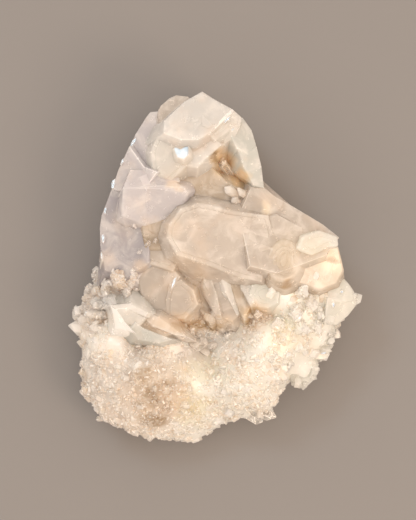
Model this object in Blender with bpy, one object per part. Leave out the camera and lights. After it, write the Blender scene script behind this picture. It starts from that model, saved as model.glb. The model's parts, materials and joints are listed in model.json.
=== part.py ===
"""A quartz cluster, a hand-sized specimen of intergrown crystals on a sawn root of milky quartz.

Run it with: blender --background --python part.py
Metres, +Z up. The specimen lies on its flat cut at z = 0, with its long way along Y.
Places below are plan places in millimetres: x to the right, y to the far end, z above the cut.
"""

import math
import random

import bmesh
import bpy
from mathutils import Matrix, Vector, geometry, noise

# Driving dimensions
SPECIMEN_LENGTH = 0.110  # along Y, over the crystal tips
MM = SPECIMEN_LENGTH / 110  # the plan's millimetre
CUT_ALLOWANCE = 3.6  # how far the root is made past the cut before it is sawn flat

# Quartz: the end faces lean this much from the side faces that they grow over
END_FACE_LEAN = math.radians(38.2)
SIDES = 6
ROOT_TAPER, TIP_TAPER = 1.04, 0.94  # a crystal's radius at its root and tip, as shares of its own
# How far the end faces are cut in along the crystal, as shares of its radius: three are often larger
GREATER_FACES = (0.0, 0.14)
LESSER_FACES = (0.12, 0.42)

SEED = 11

# The plan outline of the massive root, anticlockwise from the right-hand rim
ROOT_OUTLINE = [
    (43, -10), (42, -4.5), (40, 1), (38.5, 9.5), (33, 13.5), (27, 17.3), (21, 20.6), (16.5, 24.5),
    (14.6, 29), (13.5, 36), (11.5, 42), (8.5, 46.5), (4, 50), (-1, 52.3), (-5, 52.8), (-11, 52.8),
    (-15.5, 49.8), (-19, 47.5), (-23.4, 40.5), (-27, 33), (-30, 25), (-32.6, 18), (-33.8, 12), (-33.5, 5),
    (-33, 0), (-36.5, -3), (-39.5, -9.5), (-42, -14), (-43.3, -18.5), (-41.5, -25), (-41.7, -31),
    (-41, -39.5), (-36, -43.5), (-31.5, -48.3), (-26, -50.3), (-20, -52.8), (-13, -54.6), (-5, -55),
    (-0.5, -52), (2, -49), (9, -47.7), (15, -45), (18, -40), (22, -35), (27, -30), (33, -25.5),
    (36.5, -21), (38.5, -16),
]
ROOT_CENTRE = (0.0, -2.0)
FOOT_SHARE = 0.78  # the foot under the cut, as a share of the outline
# The walls' levels, from the cut up: share of the outline, share of the rim's height
WALL = [(0.82, 0.1), (0.92, 0.5), (0.985, 0.85), (0.99, 1.0)]
UPPER_SIDE = [0.94, 0.82, 0.68, 0.54, 0.40, 0.26, 0.13]  # its levels, as shares of the outline
RIM_SHARE = 0.6  # the rim's height, as a share of the upper side's just inside it
RIM_UNEVENNESS = 0.3  # and how far it strays from that, as a share
RIM_LUMP_SIZE = 5.0
UPPER_HALF = -5.0  # beyond this y, large faces make the outline
UPPER_SETBACK = 0.055  # and the root's walls stand back from it by this share
WALL_LUMP_SIZE = 6.0
WALL_LUMP_REACH = 3.0
LUMP_SIZE = 8.0
LUMP_HEIGHT = 2.6
NOISE_SHIFTS = (0.0, 31.7, 67.3)  # three places in the noise that don't look alike
SLOPE_STEP = 1.5  # a slope is taken between places this far to either side

# Swellings of the root's upper side: x, y, reach in x, reach in y, height
SWELLINGS = {
    "crown": (-5, 41, 13, 11, 33),
    "left flank": (-20, 20, 12, 22, 30),
    "middle": (0, 11, 20, 10, 30),
    "right block": (27, 4, 13, 12, 29),
    "right rim": (31, -12, 11, 13, 24),
    "lower right": (13, -30, 17, 15, 28),
    "lower left": (-20, -34, 19, 16, 31),
    "left points": (-28, -13, 12, 11, 26),
    "valley floor": (-6, -12, 22, 10, 21),
}
BLEND = 6  # how sharply one swelling takes over from the next
LEAST_HEIGHT = 9.0
HOLLOW = (4.0, 31.5, 3.6, 5.2, 18.0)  # x, y, reach in x, reach in y, depth

# Broad crystal faces: plan corners, height of the face at its middle, its rise along x and along y
BROAD_FACES = {
    # the upper lobe
    "crown": ([(-14.5, 45.5), (-8.5, 51.5), (-3, 54.8), (0.5, 52.2), (6, 49.3), (-1, 42.5),
               (-4.5, 40.5), (-9, 40.2), (-14, 42)], 40.0, (-0.1, -0.4)),
    "crown side": ([(-1, 42.2), (6, 49.1), (9.3, 46.6), (8.3, 43.5), (6.3, 41), (2, 38)],
                   37.1, (-0.65, 0.16)),
    "crown foot": ([(-9, 40.5), (-4.5, 40.8), (-1, 42.5), (2, 38.3), (-2, 35.3), (-4.4, 32.2), (-7, 33.2),
                    (-10, 36)], 39.6, (-0.25, 0.5)),
    "crown left": ([(-17.5, 30.5), (-18, 36), (-16, 41.5), (-10.5, 42), (-8, 37), (-8.3, 32.4),
                    (-13.8, 27.2)], 37.5, (0.15, 0.25)),
    "crown back": ([(-16.4, 49.2), (-15.6, 50.6), (-13.2, 52.8), (-11, 53.8), (-7.5, 53.3), (-5, 50),
                    (-10, 46), (-15.5, 43)], 35.0, (0.1, -0.5)),
    "flank top": ([(-20.2, 47.3), (-19, 48.7), (-16.4, 48.8), (-15.2, 42), (-16.5, 36), (-21.5, 31),
                   (-25.4, 38.2), (-23.6, 42)], 31.5, (0.75, -0.1)),
    "flank high": ([(-25.4, 38.2), (-21.5, 31.4), (-17.5, 30), (-22, 24), (-29.5, 25), (-30.8, 25.4),
                    (-28.8, 31)], 33.0, (0.7, -0.15)),
    "flank low": ([(-31, 25), (-26, 24.5), (-21, 16), (-20, 10), (-20, 3), (-27, -2), (-33, 0.4), (-34.4, 8),
                   (-34.7, 13), (-34.1, 17)], 29.5, (0.3, 0.05)),
    "mid left far": ([(-25, 30.8), (-17, 30.2), (-13.5, 28.2), (-9.2, 25.4), (-16, 25.3),
                      (-26.5, 25.2)], 37.0, (-0.12, -0.5)),
    "mid left near": ([(-26.5, 25.2), (-16, 25.3), (-9.2, 25.2), (-8.0, 23.6), (-9.2, 21), (-12, 17),
                       (-20, 14.6), (-27, 17)], 35.7, (-0.12, 0.5)),
    "recess": ([(-13.2, 26.6), (-8.6, 31.8), (-3, 33.2), (0.4, 31.6), (4.6, 26.8), (12, 26), (16.2, 24.8),
                (19.8, 22.2), (17, 15.5), (3, 17.3), (-4, 18.8), (-9.5, 23.5)], 29.5, (-0.1, 0.05)),
    # the slab across the middle, the roof that falls away from it, and the blades under it
    "slab": ([(-12.4, 14), (-9, 18.4), (-4, 20), (0, 19.3), (5, 17.8), (16.5, 16.6), (18, 11), (16, 4),
              (14.5, -2.6), (9, -1.7), (4, 0.3), (-1, 2.4), (-10, 5), (-13, 10)], 36.4, (-0.09, 0.0)),
    "roof": ([(6, 17), (12, 25.5), (16.2, 25.2), (19.6, 22.5), (24, 20.2), (29, 17.2), (34, 14.2),
              (39.0, 10.2), (34, 5), (20, 0), (12, 2)], 31.9, (-0.2, -0.36)),
    "blade top": ([(-23, 9.5), (-17, 11.5), (-12.5, 6.5), (-10, 4.8), (-12.5, 0.5), (-20.5, 3.2)],
                  31.0, (0.1, 0.15)),
    "dull patch": ([(-21, 15.5), (-15, 15), (-11.5, 16.5), (-12, 11), (-14, 7), (-20, 7)],
                   33.0, (0.05, 0.25)),
    "blade broad": ([(-20.5, 2.8), (-13, 0.6), (-9, -4.6), (-5, -10.2), (-8.5, -14), (-16, -15.7),
                     (-20.5, -9), (-22, -3)], 27.8, (0.0, 0.14)),
    "blade brown": ([(-11.5, 5.8), (-3.5, 4), (-2, -3), (1.5, -13.5), (-1, -15.5), (-5.5, -9),
                     (-9.3, -4)], 24.8, (-0.1, 0.15)),
    "blade next": ([(-3, 4), (3, 2.8), (7, -5), (9, -12), (6, -15), (2, -14), (-1.8, -4)],
                   27.6, (0.0, 0.17)),
    "blade last": ([(4, 2.5), (10, 0.5), (15, -2.5), (12, -9), (10, -14.5), (8.5, -11.5), (6.5, -5)],
                   28.5, (-0.1, 0.15)),
    # the right-hand block
    "bright": ([(26.6, 7), (28.6, 10.3), (33, 12.3), (38.6, 10.6), (38.9, 7.6), (36, 7.2), (31, 5.3)],
               32.6, (-0.3, -0.1)),
    "peach": ([(25.5, 3.5), (31, 5.6), (36.5, 7.4), (38.9, 7.6), (40.7, 0), (38.5, -4.2), (33, -5.5),
               (26.5, -3.5)], 31.0, (-0.35, 0.22)),
    "round": ([(17.3, 1.5), (17.4, 4), (18.6, 6.8), (21, 8.6), (24, 8.4), (26, 6), (26.3, 2),
               (25, -1), (22, -2.6), (19, -1.8)], 35.2, (-0.1, 0.12)),
    "pale block": ([(20, -2), (26, -3), (33, -5), (37, -4.4), (37.5, -9), (33, -14), (26, -16),
                    (21, -12)], 28.5, (-0.3, 0.12)),
    "rim glass": ([(36.8, -6), (39, -4.2), (42, -3.8), (44.2, -6), (45, -9), (44.2, -11.6),
                   (41.8, -14.6), (38.6, -17.2), (35, -13)], 21.0, (-0.6, 0.1)),
    "pale face": ([(25.5, -17), (33, -14.5), (37.5, -16), (38.3, -20), (36.5, -23.4),
                   (31.5, -27), (25.5, -27.5), (23.5, -22)], 25.0, (-0.4, 0.35)),
    "cream face": ([(13.5, -20), (19, -17.5), (25, -18.5), (24.5, -26), (20, -30), (14.5, -28)],
                   29.0, (-0.25, 0.2)),
    "sugar lump": ([(-38, -21), (-33, -19.5), (-28, -21), (-27, -26), (-31, -29), (-38, -28)],
                   28.5, (0.3, 0.1)),
    "brown lump": ([(-24, -31), (-22, -29.5), (-18.5, -29.8), (-17.4, -33), (-20, -36), (-23.6, -35)],
                   34.5, (0.05, 0.1)),
}
FACE_DEPTH = 17.0  # how far a broad face's crystal goes down into the root
FACE_SPREAD = 0.42  # how far its sides move out for each millimetre down
FACE_FOOT_SHARE = 0.89  # its foot stays within this share of the root's outline
SHARPEST_CORNER = 0.5  # the least cosine by which a corner's move is divided

# Crystals placed one by one: root, tip, radius, flatness (thickness by width) and roll in degrees
NAMED_CRYSTALS = {
    "crown glint": ((-10.5, 41, 32), (-9.4, 35.8, 43.5), 2.9, 1.0, 0),
    "shoulder upper": ((2, 48, 15), (11.6, 36, 31), 4.6, 1.0, 20),
    "shoulder lower": ((7, 44, 13), (13.4, 26, 26), 4.4, 1.0, 0),
    "recess small": ((12, 20, 22), (4.5, 25.8, 32), 2.2, 1.0, 15),
    "recess small near": ((14, 20, 20), (8.5, 24.5, 31), 1.8, 1.0, 40),
    "hollow small": ((6, 27, 14), (2.5, 34, 25), 1.7, 1.0, 0),
    "flank foot": ((-24, 16, 21), (-21.5, -2.5, 31), 5.2, 0.9, 25),
    # points of the right-hand block
    "round near": ((29, 0, 22), (27, 3.4, 36), 3.4, 1.0, 25),
    "white ridge": ((37, 3, 22), (32.5, 6.4, 34.5), 2.6, 0.8, 15),
    "pair far": ((22, -9, 22), (21.2, -4.2, 33.5), 2.3, 1.0, 0),
    "pair near": ((19, -11, 22), (17.8, -5.8, 34), 3.0, 1.0, 30),
    "pair low": ((18, -14, 20), (15.0, -8.2, 31.5), 3.2, 1.0, 10),
    "yellow point": ((17, -20, 18), (14, -13, 29), 2.4, 1.0, 0),
    "yellow point low": ((22, -22, 18), (19.5, -16, 30), 2.8, 1.0, 20),
    "cream point": ((27, -16, 20), (26.5, -10.5, 31), 2.6, 1.0, 40),
    # points that stand out past the lower right edge
    "point large": ((26.5, -18, 17), (29.2, -38, 18), 5.0, 0.75, 0),
    "point broad": ((24, -22, 15), (17.2, -42.6, 17), 5.0, 0.75, 8),
    "point clear": ((11, -41, 12), (20.4, -45.6, 14), 2.9, 1.0, 0),
    "point small": ((31, -20, 13), (35.5, -28.5, 16), 2.5, 1.0, 0),
    "point rim": ((32, -12, 13), (37.6, -24.2, 17), 3.4, 0.9, 10),
    # the pointed blades of the left side
    "left point": ((-11, -20, 22), (-31.6, -10.6, 32), 4.8, 0.62, 8),
    "left point low": ((-4, -23, 22), (-20, -12.8, 30), 2.8, 0.7, 0),
    "left point near": ((-8, -26, 23), (-25, -17.5, 32), 2.8, 0.7, 20),
    "valley point": ((-8, -25, 19), (-6.4, -17.8, 30), 3.0, 0.8, 0),
    "left flat": ((-26, -13, 18), (-42.5, -12.5, 21), 2.0, 0.6, 0),
    "left flat near": ((-25, -17, 19), (-41, -15.5, 25), 2.4, 0.6, 15),
    "left flat last": ((-27, -20, 17), (-44.8, -18.5, 19), 2.8, 0.8, 0),
    "left wall": ((-34, -12, 11), (-36.0, 1.6, 16), 1.9, 0.7, 0),
    "left wall near": ((-35, -14, 12), (-39.5, -4, 17), 1.9, 0.7, 20),
    "left peak": ((-27, -9, 20), (-28.5, -1.5, 32), 2.6, 0.8, 10),
    "left peak near": ((-24, -9, 20), (-24.5, 0.5, 32), 2.4, 0.8, 0),
    "left peak far": ((-30, -3, 17), (-33.5, -6, 28), 2.6, 0.8, 0),
}

# Fields of small crystals: centre, reach in x and y, how many, radius range, length range, scatter of lean
FIELDS = {
    "lower left blocks": ((-19, -38), (19, 15), 15, (3.0, 5.0), (7.0, 10.0), 0.35),
    "lower left": ((-20, -37), (22, 18), 44, (1.2, 2.6), (4.0, 6.5), 0.5),
    "lower right blocks": ((5, -36), (14, 13), 10, (3.0, 4.8), (7.0, 10.0), 0.35),
    "lower right": ((7, -35), (16, 15), 30, (1.2, 2.6), (4.0, 6.5), 0.5),
    "right rim": ((31, -12), (8, 9), 8, (1.3, 2.4), (4.0, 6.0), 0.5),
    "left points": ((-33, -14), (8, 9), 11, (1.0, 2.0), (5.0, 9.0), 0.5),
    "valley": ((-4, -19), (15, 4), 10, (1.2, 2.4), (4.0, 6.0), 0.6),
}
FIELD_STRAY = 1.0  # how far a crystal strays from its place in the field's spiral
ROOTED = 0.62  # the share of a small crystal that is sunk in the root
SMALL_FLATNESS = (0.75, 1.0)
SMALL_ROLL = (0, 60)
# Crystals that lean out of the walls: how many, their tips' height as a share of the rim's,
# radius range, and how far past the outline the tips reach
WALL_CRYSTALS = {
    "low": (15, (0.15, 0.45), (3.0, 5.5), (-5.0, -2.5)),
    "high": (30, (0.6, 1.5), (3.0, 6.0), (-1.8, -0.4)),
    "fringe": (26, (0.75, 1.3), (1.2, 2.4), (-0.8, 0.9)),
}
WALL_STRAY = 0.8  # how far one strays along the wall, as a share of their spacing
WALL_LENGTH = 3.0  # their length, in radii
WALL_RISE, WALL_SCATTER = 0.3, 0.25  # how they lean up from level, and how much that varies


def clear_scene():
    for obj in list(bpy.data.objects):
        bpy.data.objects.remove(obj, do_unlink=True)


def quartz_material():
    material = bpy.data.materials.new("quartz")
    material.use_nodes = True
    shader = material.node_tree.nodes["Principled BSDF"]
    shader.inputs["Base Color"].default_value = (0.80, 0.70, 0.59, 1.0)
    shader.inputs["Roughness"].default_value = 0.25
    shader.inputs["Metallic"].default_value = 0.0
    shader.inputs["IOR"].default_value = 1.544
    return material


def relief(x, y):
    """Height of the root's upper side over a plan place, in plan millimetres."""
    total = LEAST_HEIGHT ** BLEND
    for cx, cy, rx, ry, height in SWELLINGS.values():
        away = ((x - cx) / rx) ** 2 + ((y - cy) / ry) ** 2
        total += (height * math.exp(-0.5 * away)) ** BLEND
    hx, hy, rx, ry, depth = HOLLOW
    away = ((x - hx) / rx) ** 2 + ((y - hy) / ry) ** 2
    lump = noise.noise(Vector((x, y, 0)) / LUMP_SIZE) * LUMP_HEIGHT
    return total ** (1 / BLEND) - depth * math.exp(-away * away) + lump


def outward(x, y):
    """Unit normal of the upper side over a plan place."""
    return Vector((
        relief(x - SLOPE_STEP, y) - relief(x + SLOPE_STEP, y),
        relief(x, y - SLOPE_STEP) - relief(x, y + SLOPE_STEP),
        2 * SLOPE_STEP,
    )).normalized()


def drawn_in(x, y, share):
    """A plan place moved towards the root's centre, to a share of its distance."""
    cx, cy = ROOT_CENTRE
    return cx + (x - cx) * share, cy + (y - cy) * share


def rim_height(x, y):
    """The height at which the root is widest, under a plan place on its outline."""
    uneven = 1 + RIM_UNEVENNESS * noise.noise(Vector((x, y, 0)) / RIM_LUMP_SIZE)
    return RIM_SHARE * uneven * relief(*drawn_in(x, y, UPPER_SIDE[1]))


def shaken(place, size, reach):
    """The place moved by up to the reach, by three unlike samples of noise of the given size."""
    samples = [place / size + Vector((0, 0, shift)) for shift in NOISE_SHIFTS]
    return place + Vector([noise.noise(sample) for sample in samples]) * reach


def wall_ring(share, rise):
    """A level of the walls, or the foot under the cut where there is no rise."""
    ring = []
    for x, y in ROOT_OUTLINE:
        px, py = drawn_in(x, y, share - UPPER_SETBACK if y > UPPER_HALF else share)
        pz = rise * rim_height(x, y) if rise else -CUT_ALLOWANCE
        ring.append(shaken(Vector((px, py, pz)), WALL_LUMP_SIZE, WALL_LUMP_REACH))
    return ring


def upper_ring(share):
    """A level of the upper side, at a share of the outline."""
    ring = []
    for x, y in ROOT_OUTLINE:
        px, py = drawn_in(x, y, share)
        ring.append(Vector((px, py, relief(px, py))))
    return ring


def massive_root():
    """The root: a foot, walls that lean out to the rim, and an upper side that follows the relief."""
    levels = [wall_ring(FOOT_SHARE, 0)]
    levels += [wall_ring(share, rise) for share, rise in WALL]
    levels += [upper_ring(share) for share in UPPER_SIDE]
    mesh = bmesh.new()
    rings = [[mesh.verts.new(p * MM) for p in level] for level in levels]
    count = len(ROOT_OUTLINE)
    for low, high in zip(rings, rings[1:]):
        for i in range(count):
            j = (i + 1) % count
            a, b, c, d = low[i], low[j], high[j], high[i]
            corners = ((a, b, c), (a, c, d)) if i % 2 else ((a, b, d), (b, c, d))
            for corner in corners:
                mesh.faces.new(corner)
    mesh.faces.new(reversed(rings[0]))
    mesh.faces.new(rings[-1])
    bmesh.ops.triangulate(mesh, faces=[f for f in mesh.faces if len(f.verts) > 4])
    return mesh


def quartz_point(length, radius, flatness, chooser, end_faces=SIDES):
    """A six-sided crystal along +Z from the origin, its end cut by leaning faces at their own depths."""
    mesh = bmesh.new()
    placed = Matrix.Translation((0, 0, length / 2)) @ Matrix.Rotation(math.pi / SIDES, 4, "Z")
    bmesh.ops.create_cone(
        mesh, cap_ends=True, segments=SIDES, radius1=radius * ROOT_TAPER, radius2=radius * TIP_TAPER,
        depth=length, matrix=placed,
    )
    for face in range(end_faces):
        turn = math.tau * face / end_faces
        normal = Vector((
            math.cos(turn) * math.cos(END_FACE_LEAN),
            math.sin(turn) * math.cos(END_FACE_LEAN),
            math.sin(END_FACE_LEAN),
        ))
        lesser = end_faces == SIDES and face % 2
        depth = radius * chooser.uniform(*(LESSER_FACES if lesser else GREATER_FACES))
        cut = bmesh.ops.bisect_plane(
            mesh, geom=mesh.verts[:] + mesh.edges[:] + mesh.faces[:],
            plane_co=Vector((0, 0, length)) - normal * depth, plane_no=normal, clear_outer=True,
        )
        edges = [e for e in cut["geom_cut"] if isinstance(e, bmesh.types.BMEdge)]
        bmesh.ops.holes_fill(mesh, edges=edges, sides=0)
    mesh.transform(Matrix.Diagonal((flatness, 1, 1, 1)))
    return mesh


def pointing(root, tip, roll):
    """The frame at root whose +Z runs to tip and whose +X faces up, then rolled about the crystal."""
    along = (tip - root).normalized()
    up = Vector((0, 0, 1)) if abs(along.z) < 0.97 else Vector((0, 1, 0))
    across = (up - along * up.dot(along)).normalized()
    side = along.cross(across)
    frame = Matrix((across, side, along)).transposed().to_4x4()
    return Matrix.Translation(root) @ frame @ Matrix.Rotation(math.radians(roll), 4, "Z")


def add_object(name, mesh, material, collection):
    data = bpy.data.meshes.new(name)
    bmesh.ops.recalc_face_normals(mesh, faces=mesh.faces)
    mesh.to_mesh(data)
    mesh.free()
    data.materials.append(material)
    obj = bpy.data.objects.new(name, data)
    collection.objects.link(obj)
    return obj


def add_crystal(name, root, tip, radius, flatness, roll, chooser, material, collection, end_faces=SIDES):
    root, tip = Vector(root) * MM, Vector(tip) * MM
    mesh = quartz_point((tip - root).length, radius * MM, flatness, chooser, end_faces)
    mesh.transform(pointing(root, tip, roll))
    return add_object(name, mesh, material, collection)


def corner_moved_out(before, corner, after, distance):
    """The corner of an outline moved so that both of its sides lie further out by the distance."""
    first, second = (corner - before).normalized(), (after - corner).normalized()
    out_first, out_second = Vector((first.y, -first.x)), Vector((second.y, -second.x))
    middle = (out_first + out_second).normalized()
    return corner + middle * distance / max(SHARPEST_CORNER, middle.dot(out_first))


def within_root(place, share):
    """The place, drawn in to a share of the root's outline if it lies past that."""
    centre = Vector(ROOT_CENTRE)
    edge = [Vector(drawn_in(x, y, share)) for x, y in ROOT_OUTLINE]
    for a, b in zip(edge, edge[1:] + edge[:1]):
        met = geometry.intersect_line_line_2d(centre, place, a, b)
        if met:
            return met
    return place


def broad_face(corners, height, rise):
    """A crystal whose flat upper face has the given plan corners, and whose sides spread as they go down."""
    plan = [Vector(c) for c in corners]
    area = sum(a.x * b.y - b.x * a.y for a, b in zip(plan, plan[1:] + plan[:1]))
    if area < 0:
        plan.reverse()
    middle = sum(plan, Vector((0, 0))) / len(plan)
    mesh = bmesh.new()
    top, foot = [], []
    for i, corner in enumerate(plan):
        out = corner_moved_out(plan[i - 1], corner, plan[(i + 1) % len(plan)], FACE_DEPTH * FACE_SPREAD)
        out = within_root(out, FACE_FOOT_SHARE)
        level = height + Vector(rise).dot(corner - middle)
        top.append(mesh.verts.new(Vector((corner.x, corner.y, level)) * MM))
        foot.append(mesh.verts.new(Vector((out.x, out.y, level - FACE_DEPTH)) * MM))
    face = mesh.faces.new(top)
    mesh.faces.new(reversed(foot))
    for i in range(len(plan)):
        j = (i + 1) % len(plan)
        mesh.faces.new((top[j], top[i], foot[i], foot[j]))
    return mesh


def add_broad_faces(material, collection):
    for name, (corners, height, rise) in BROAD_FACES.items():
        add_object(name, broad_face(corners, height, rise), material, collection)


def add_named_crystals(chooser, material, collection):
    for name, (root, tip, radius, flatness, roll) in NAMED_CRYSTALS.items():
        add_crystal(name, root, tip, radius, flatness, roll, chooser, material, collection)


def add_small_crystal(name, foot, along, length, radius, rooted, chooser, material, collection):
    """A small crystal of a chance thickness and turn, sunk by a share of its length."""
    add_crystal(
        name, foot - along * length * rooted, foot + along * length * (1 - rooted),
        radius, chooser.uniform(*SMALL_FLATNESS), chooser.uniform(*SMALL_ROLL),
        chooser, material, collection, end_faces=SIDES // 2,
    )


def scattered(direction, scatter, chooser):
    return (direction + Vector([chooser.gauss(0, scatter) for _ in range(3)])).normalized()


def add_fields(chooser, material, collection):
    """Small crystals that stand on the upper side, spread by the golden angle."""
    golden = math.pi * (3 - math.sqrt(5))
    for field, (centre, reach, count, radii, lengths, scatter) in FIELDS.items():
        for i in range(count):
            out = math.sqrt((i + 0.5) / count)
            stray = [chooser.uniform(-FIELD_STRAY, FIELD_STRAY) for _ in range(2)]
            x = centre[0] + reach[0] * out * math.cos(golden * i) + stray[0]
            y = centre[1] + reach[1] * out * math.sin(golden * i) + stray[1]
            size = chooser.random() ** 2
            add_small_crystal(
                f"{field} {i}", Vector((x, y, relief(x, y))), scattered(outward(x, y), scatter, chooser),
                lengths[0] + (lengths[1] - lengths[0]) * size, radii[0] + (radii[1] - radii[0]) * size,
                ROOTED, chooser, material, collection,
            )


def along_outline(share):
    """The place and outward direction at a share of the way round the root's outline."""
    count = len(ROOT_OUTLINE)
    i = int(share * count) % count
    part = share * count - int(share * count)
    a, b = Vector(ROOT_OUTLINE[i]), Vector(ROOT_OUTLINE[(i + 1) % count])
    return a.lerp(b, part), Vector((b.y - a.y, a.x - b.x)).normalized()


def add_wall_crystals(chooser, material, collection):
    """Crystals that lean out of the root's walls, with a fringe of small ones round the lower half."""
    for row, (count, heights, radii, past) in WALL_CRYSTALS.items():
        for i in range(count):
            place, out = along_outline((i + chooser.uniform(0, WALL_STRAY)) / count)
            if row == "fringe" and place.y > UPPER_HALF:
                continue
            radius = chooser.uniform(*radii)
            tip = place + out * chooser.uniform(*past)
            tip = Vector((*tip, rim_height(*place) * chooser.uniform(*heights)))
            along = scattered(Vector((*out, WALL_RISE)), WALL_SCATTER, chooser)
            add_small_crystal(
                f"{row} {i}", tip, along, radius * WALL_LENGTH, radius, 1.0,
                chooser, material, collection,
            )


def stand_on_origin(mesh):
    """Moves the solid sideways so that the middle of its box is over the origin."""
    for axis in (0, 1):
        places = [v.co[axis] for v in mesh.verts]
        middle = (min(places) + max(places)) / 2
        for v in mesh.verts:
            v.co[axis] -= middle


def grow_together(root, crystals):
    """Makes the root and all its crystals one solid."""
    union = root.modifiers.new("grown together", "BOOLEAN")
    union.operation = "UNION"
    union.solver = "EXACT"
    union.operand_type = "COLLECTION"
    union.collection = crystals
    graph = bpy.context.evaluated_depsgraph_get()
    mesh = bmesh.new()
    mesh.from_object(root, graph)
    root.modifiers.clear()
    return mesh


def largest_shell(mesh):
    """Deletes what isn't joined to the main surface, such as a pocket sealed between crystals."""
    left = set(mesh.verts)
    shells = []
    while left:
        shell, edge_of_search = set(), [left.pop()]
        while edge_of_search:
            vert = edge_of_search.pop()
            shell.add(vert)
            near = {e.other_vert(vert) for e in vert.link_edges} & left
            left -= near
            edge_of_search.extend(near)
        shells.append(shell)
    shells.sort(key=len)
    spare = [v for shell in shells[:-1] for v in shell]
    bmesh.ops.delete(mesh, geom=spare, context="VERTS")


def saw_flat(mesh):
    """Cuts the foot off at z = 0 and closes the cut."""
    cut = bmesh.ops.bisect_plane(
        mesh, geom=mesh.verts[:] + mesh.edges[:] + mesh.faces[:],
        plane_co=(0, 0, 0), plane_no=(0, 0, -1), clear_outer=True,
    )
    edges = [e for e in cut["geom_cut"] if isinstance(e, bmesh.types.BMEdge)]
    bmesh.ops.holes_fill(mesh, edges=edges, sides=0)


def build():
    clear_scene()
    chooser = random.Random(SEED)
    material = quartz_material()
    scene = bpy.context.scene
    cluster = add_object("quartz_cluster", massive_root(), material, scene.collection)
    crystals = bpy.data.collections.new("crystals")
    scene.collection.children.link(crystals)
    add_broad_faces(material, crystals)
    add_named_crystals(chooser, material, crystals)
    add_fields(chooser, material, crystals)
    add_wall_crystals(chooser, material, crystals)
    mesh = grow_together(cluster, crystals)
    for crystal in list(crystals.objects):
        bpy.data.objects.remove(crystal, do_unlink=True)
    bpy.data.collections.remove(crystals)
    largest_shell(mesh)
    saw_flat(mesh)
    stand_on_origin(mesh)
    bmesh.ops.triangulate(mesh, faces=mesh.faces)
    mesh.to_mesh(cluster.data)
    mesh.free()
    return cluster


if __name__ == "__main__":
    build()
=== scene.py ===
# %% [markdown]
# # A quartz cluster
#
# This lesson dresses a hand-sized cluster of quartz crystals. Its solid form comes from a CAD model, loaded
# here as a fixed frame. The real stone is one piece: a root of milky quartz, broad crystals grown together
# on it, and a sugary crust of small ones. What makes it look like quartz is flat faces with crisp edges, a
# milky depth that light sinks into, and clear tips that sparkle.

# %% Load the frame
import json
import math

import bpy
import numpy as np
from mathutils import Matrix, Vector, noise
from mathutils.bvhtree import BVHTree

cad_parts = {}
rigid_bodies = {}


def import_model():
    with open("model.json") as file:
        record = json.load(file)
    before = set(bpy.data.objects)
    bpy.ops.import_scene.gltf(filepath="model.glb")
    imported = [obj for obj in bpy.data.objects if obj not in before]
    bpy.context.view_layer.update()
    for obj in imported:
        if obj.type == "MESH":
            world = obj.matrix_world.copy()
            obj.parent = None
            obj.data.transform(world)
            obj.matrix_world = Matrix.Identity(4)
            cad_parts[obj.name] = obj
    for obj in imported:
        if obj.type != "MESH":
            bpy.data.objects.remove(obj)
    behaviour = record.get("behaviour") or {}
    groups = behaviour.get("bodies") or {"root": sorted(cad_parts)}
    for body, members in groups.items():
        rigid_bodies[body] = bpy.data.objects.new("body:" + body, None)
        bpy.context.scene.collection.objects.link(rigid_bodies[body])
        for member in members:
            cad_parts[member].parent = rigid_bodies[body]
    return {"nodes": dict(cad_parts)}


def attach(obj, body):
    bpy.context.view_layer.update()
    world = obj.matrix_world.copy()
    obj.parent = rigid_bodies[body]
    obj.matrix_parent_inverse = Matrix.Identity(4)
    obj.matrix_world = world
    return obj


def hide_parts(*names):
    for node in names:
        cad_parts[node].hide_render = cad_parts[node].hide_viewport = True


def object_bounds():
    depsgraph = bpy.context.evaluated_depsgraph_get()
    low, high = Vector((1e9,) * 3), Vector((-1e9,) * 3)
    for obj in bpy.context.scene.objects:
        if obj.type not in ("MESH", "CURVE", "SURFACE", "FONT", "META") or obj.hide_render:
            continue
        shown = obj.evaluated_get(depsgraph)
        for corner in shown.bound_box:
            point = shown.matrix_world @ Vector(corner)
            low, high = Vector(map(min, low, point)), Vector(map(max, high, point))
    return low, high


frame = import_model()
cad_box = [list(corner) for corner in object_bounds()]
MM = 0.001
print("nodes:", list(frame["nodes"]), "box:", cad_box)

# %% [markdown]
# ## The plan
#
# Places on the stone are given in the millimetres of a plan seen from above: x to the right, y to the far
# end. The plan's right-hand and far extremes are known points of the stone, so the frame's box says how far
# the plan is shifted in the frame.

# %% Where the plan lies in the frame
PLAN_RIGHT, PLAN_FAR = 45.0, 54.8
high_x, high_y, _ = cad_box[1]
shift = Vector((high_x / MM - PLAN_RIGHT, high_y / MM - PLAN_FAR, 0))
print("the plan is shifted by", [round(v, 2) for v in shift], "mm")


def placed(x, y, z=0.0):
    """A place of the plan, in the frame's metres."""
    return (Vector((x, y, z)) + shift) * MM


# %% [markdown]
# ## The camera
#
# The stone lies flat and is looked at from straight above, from far enough away that its sides hardly show.

# %% Set up the camera
FRAME_TALL = 162.0  # millimetres that the picture takes in, top to bottom, at the stone's middle height
LENS, SENSOR = 200.0, 36.0
MIDDLE_HEIGHT = 18.0
VIEW_CENTRE = (-1.25, 3.27)
distance = FRAME_TALL * MM * LENS / SENSOR
camera = bpy.data.objects.new("camera", bpy.data.cameras.new("camera"))
bpy.context.scene.collection.objects.link(camera)
camera.data.lens = LENS
camera.data.sensor_width = SENSOR
camera.data.clip_start = 0.01
camera.location = placed(*VIEW_CENTRE, MIDDLE_HEIGHT) + Vector((0, 0, distance))
bpy.context.scene.camera = camera
print("camera", [round(v, 4) for v in camera.location])


# %% [markdown]
# ## Shader maths
#
# A procedural material is a sum of noises, masks and mixes. Written as Python expressions it stays
# readable, so a small class wraps a node's output, and the usual operators add the Math nodes.

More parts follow.
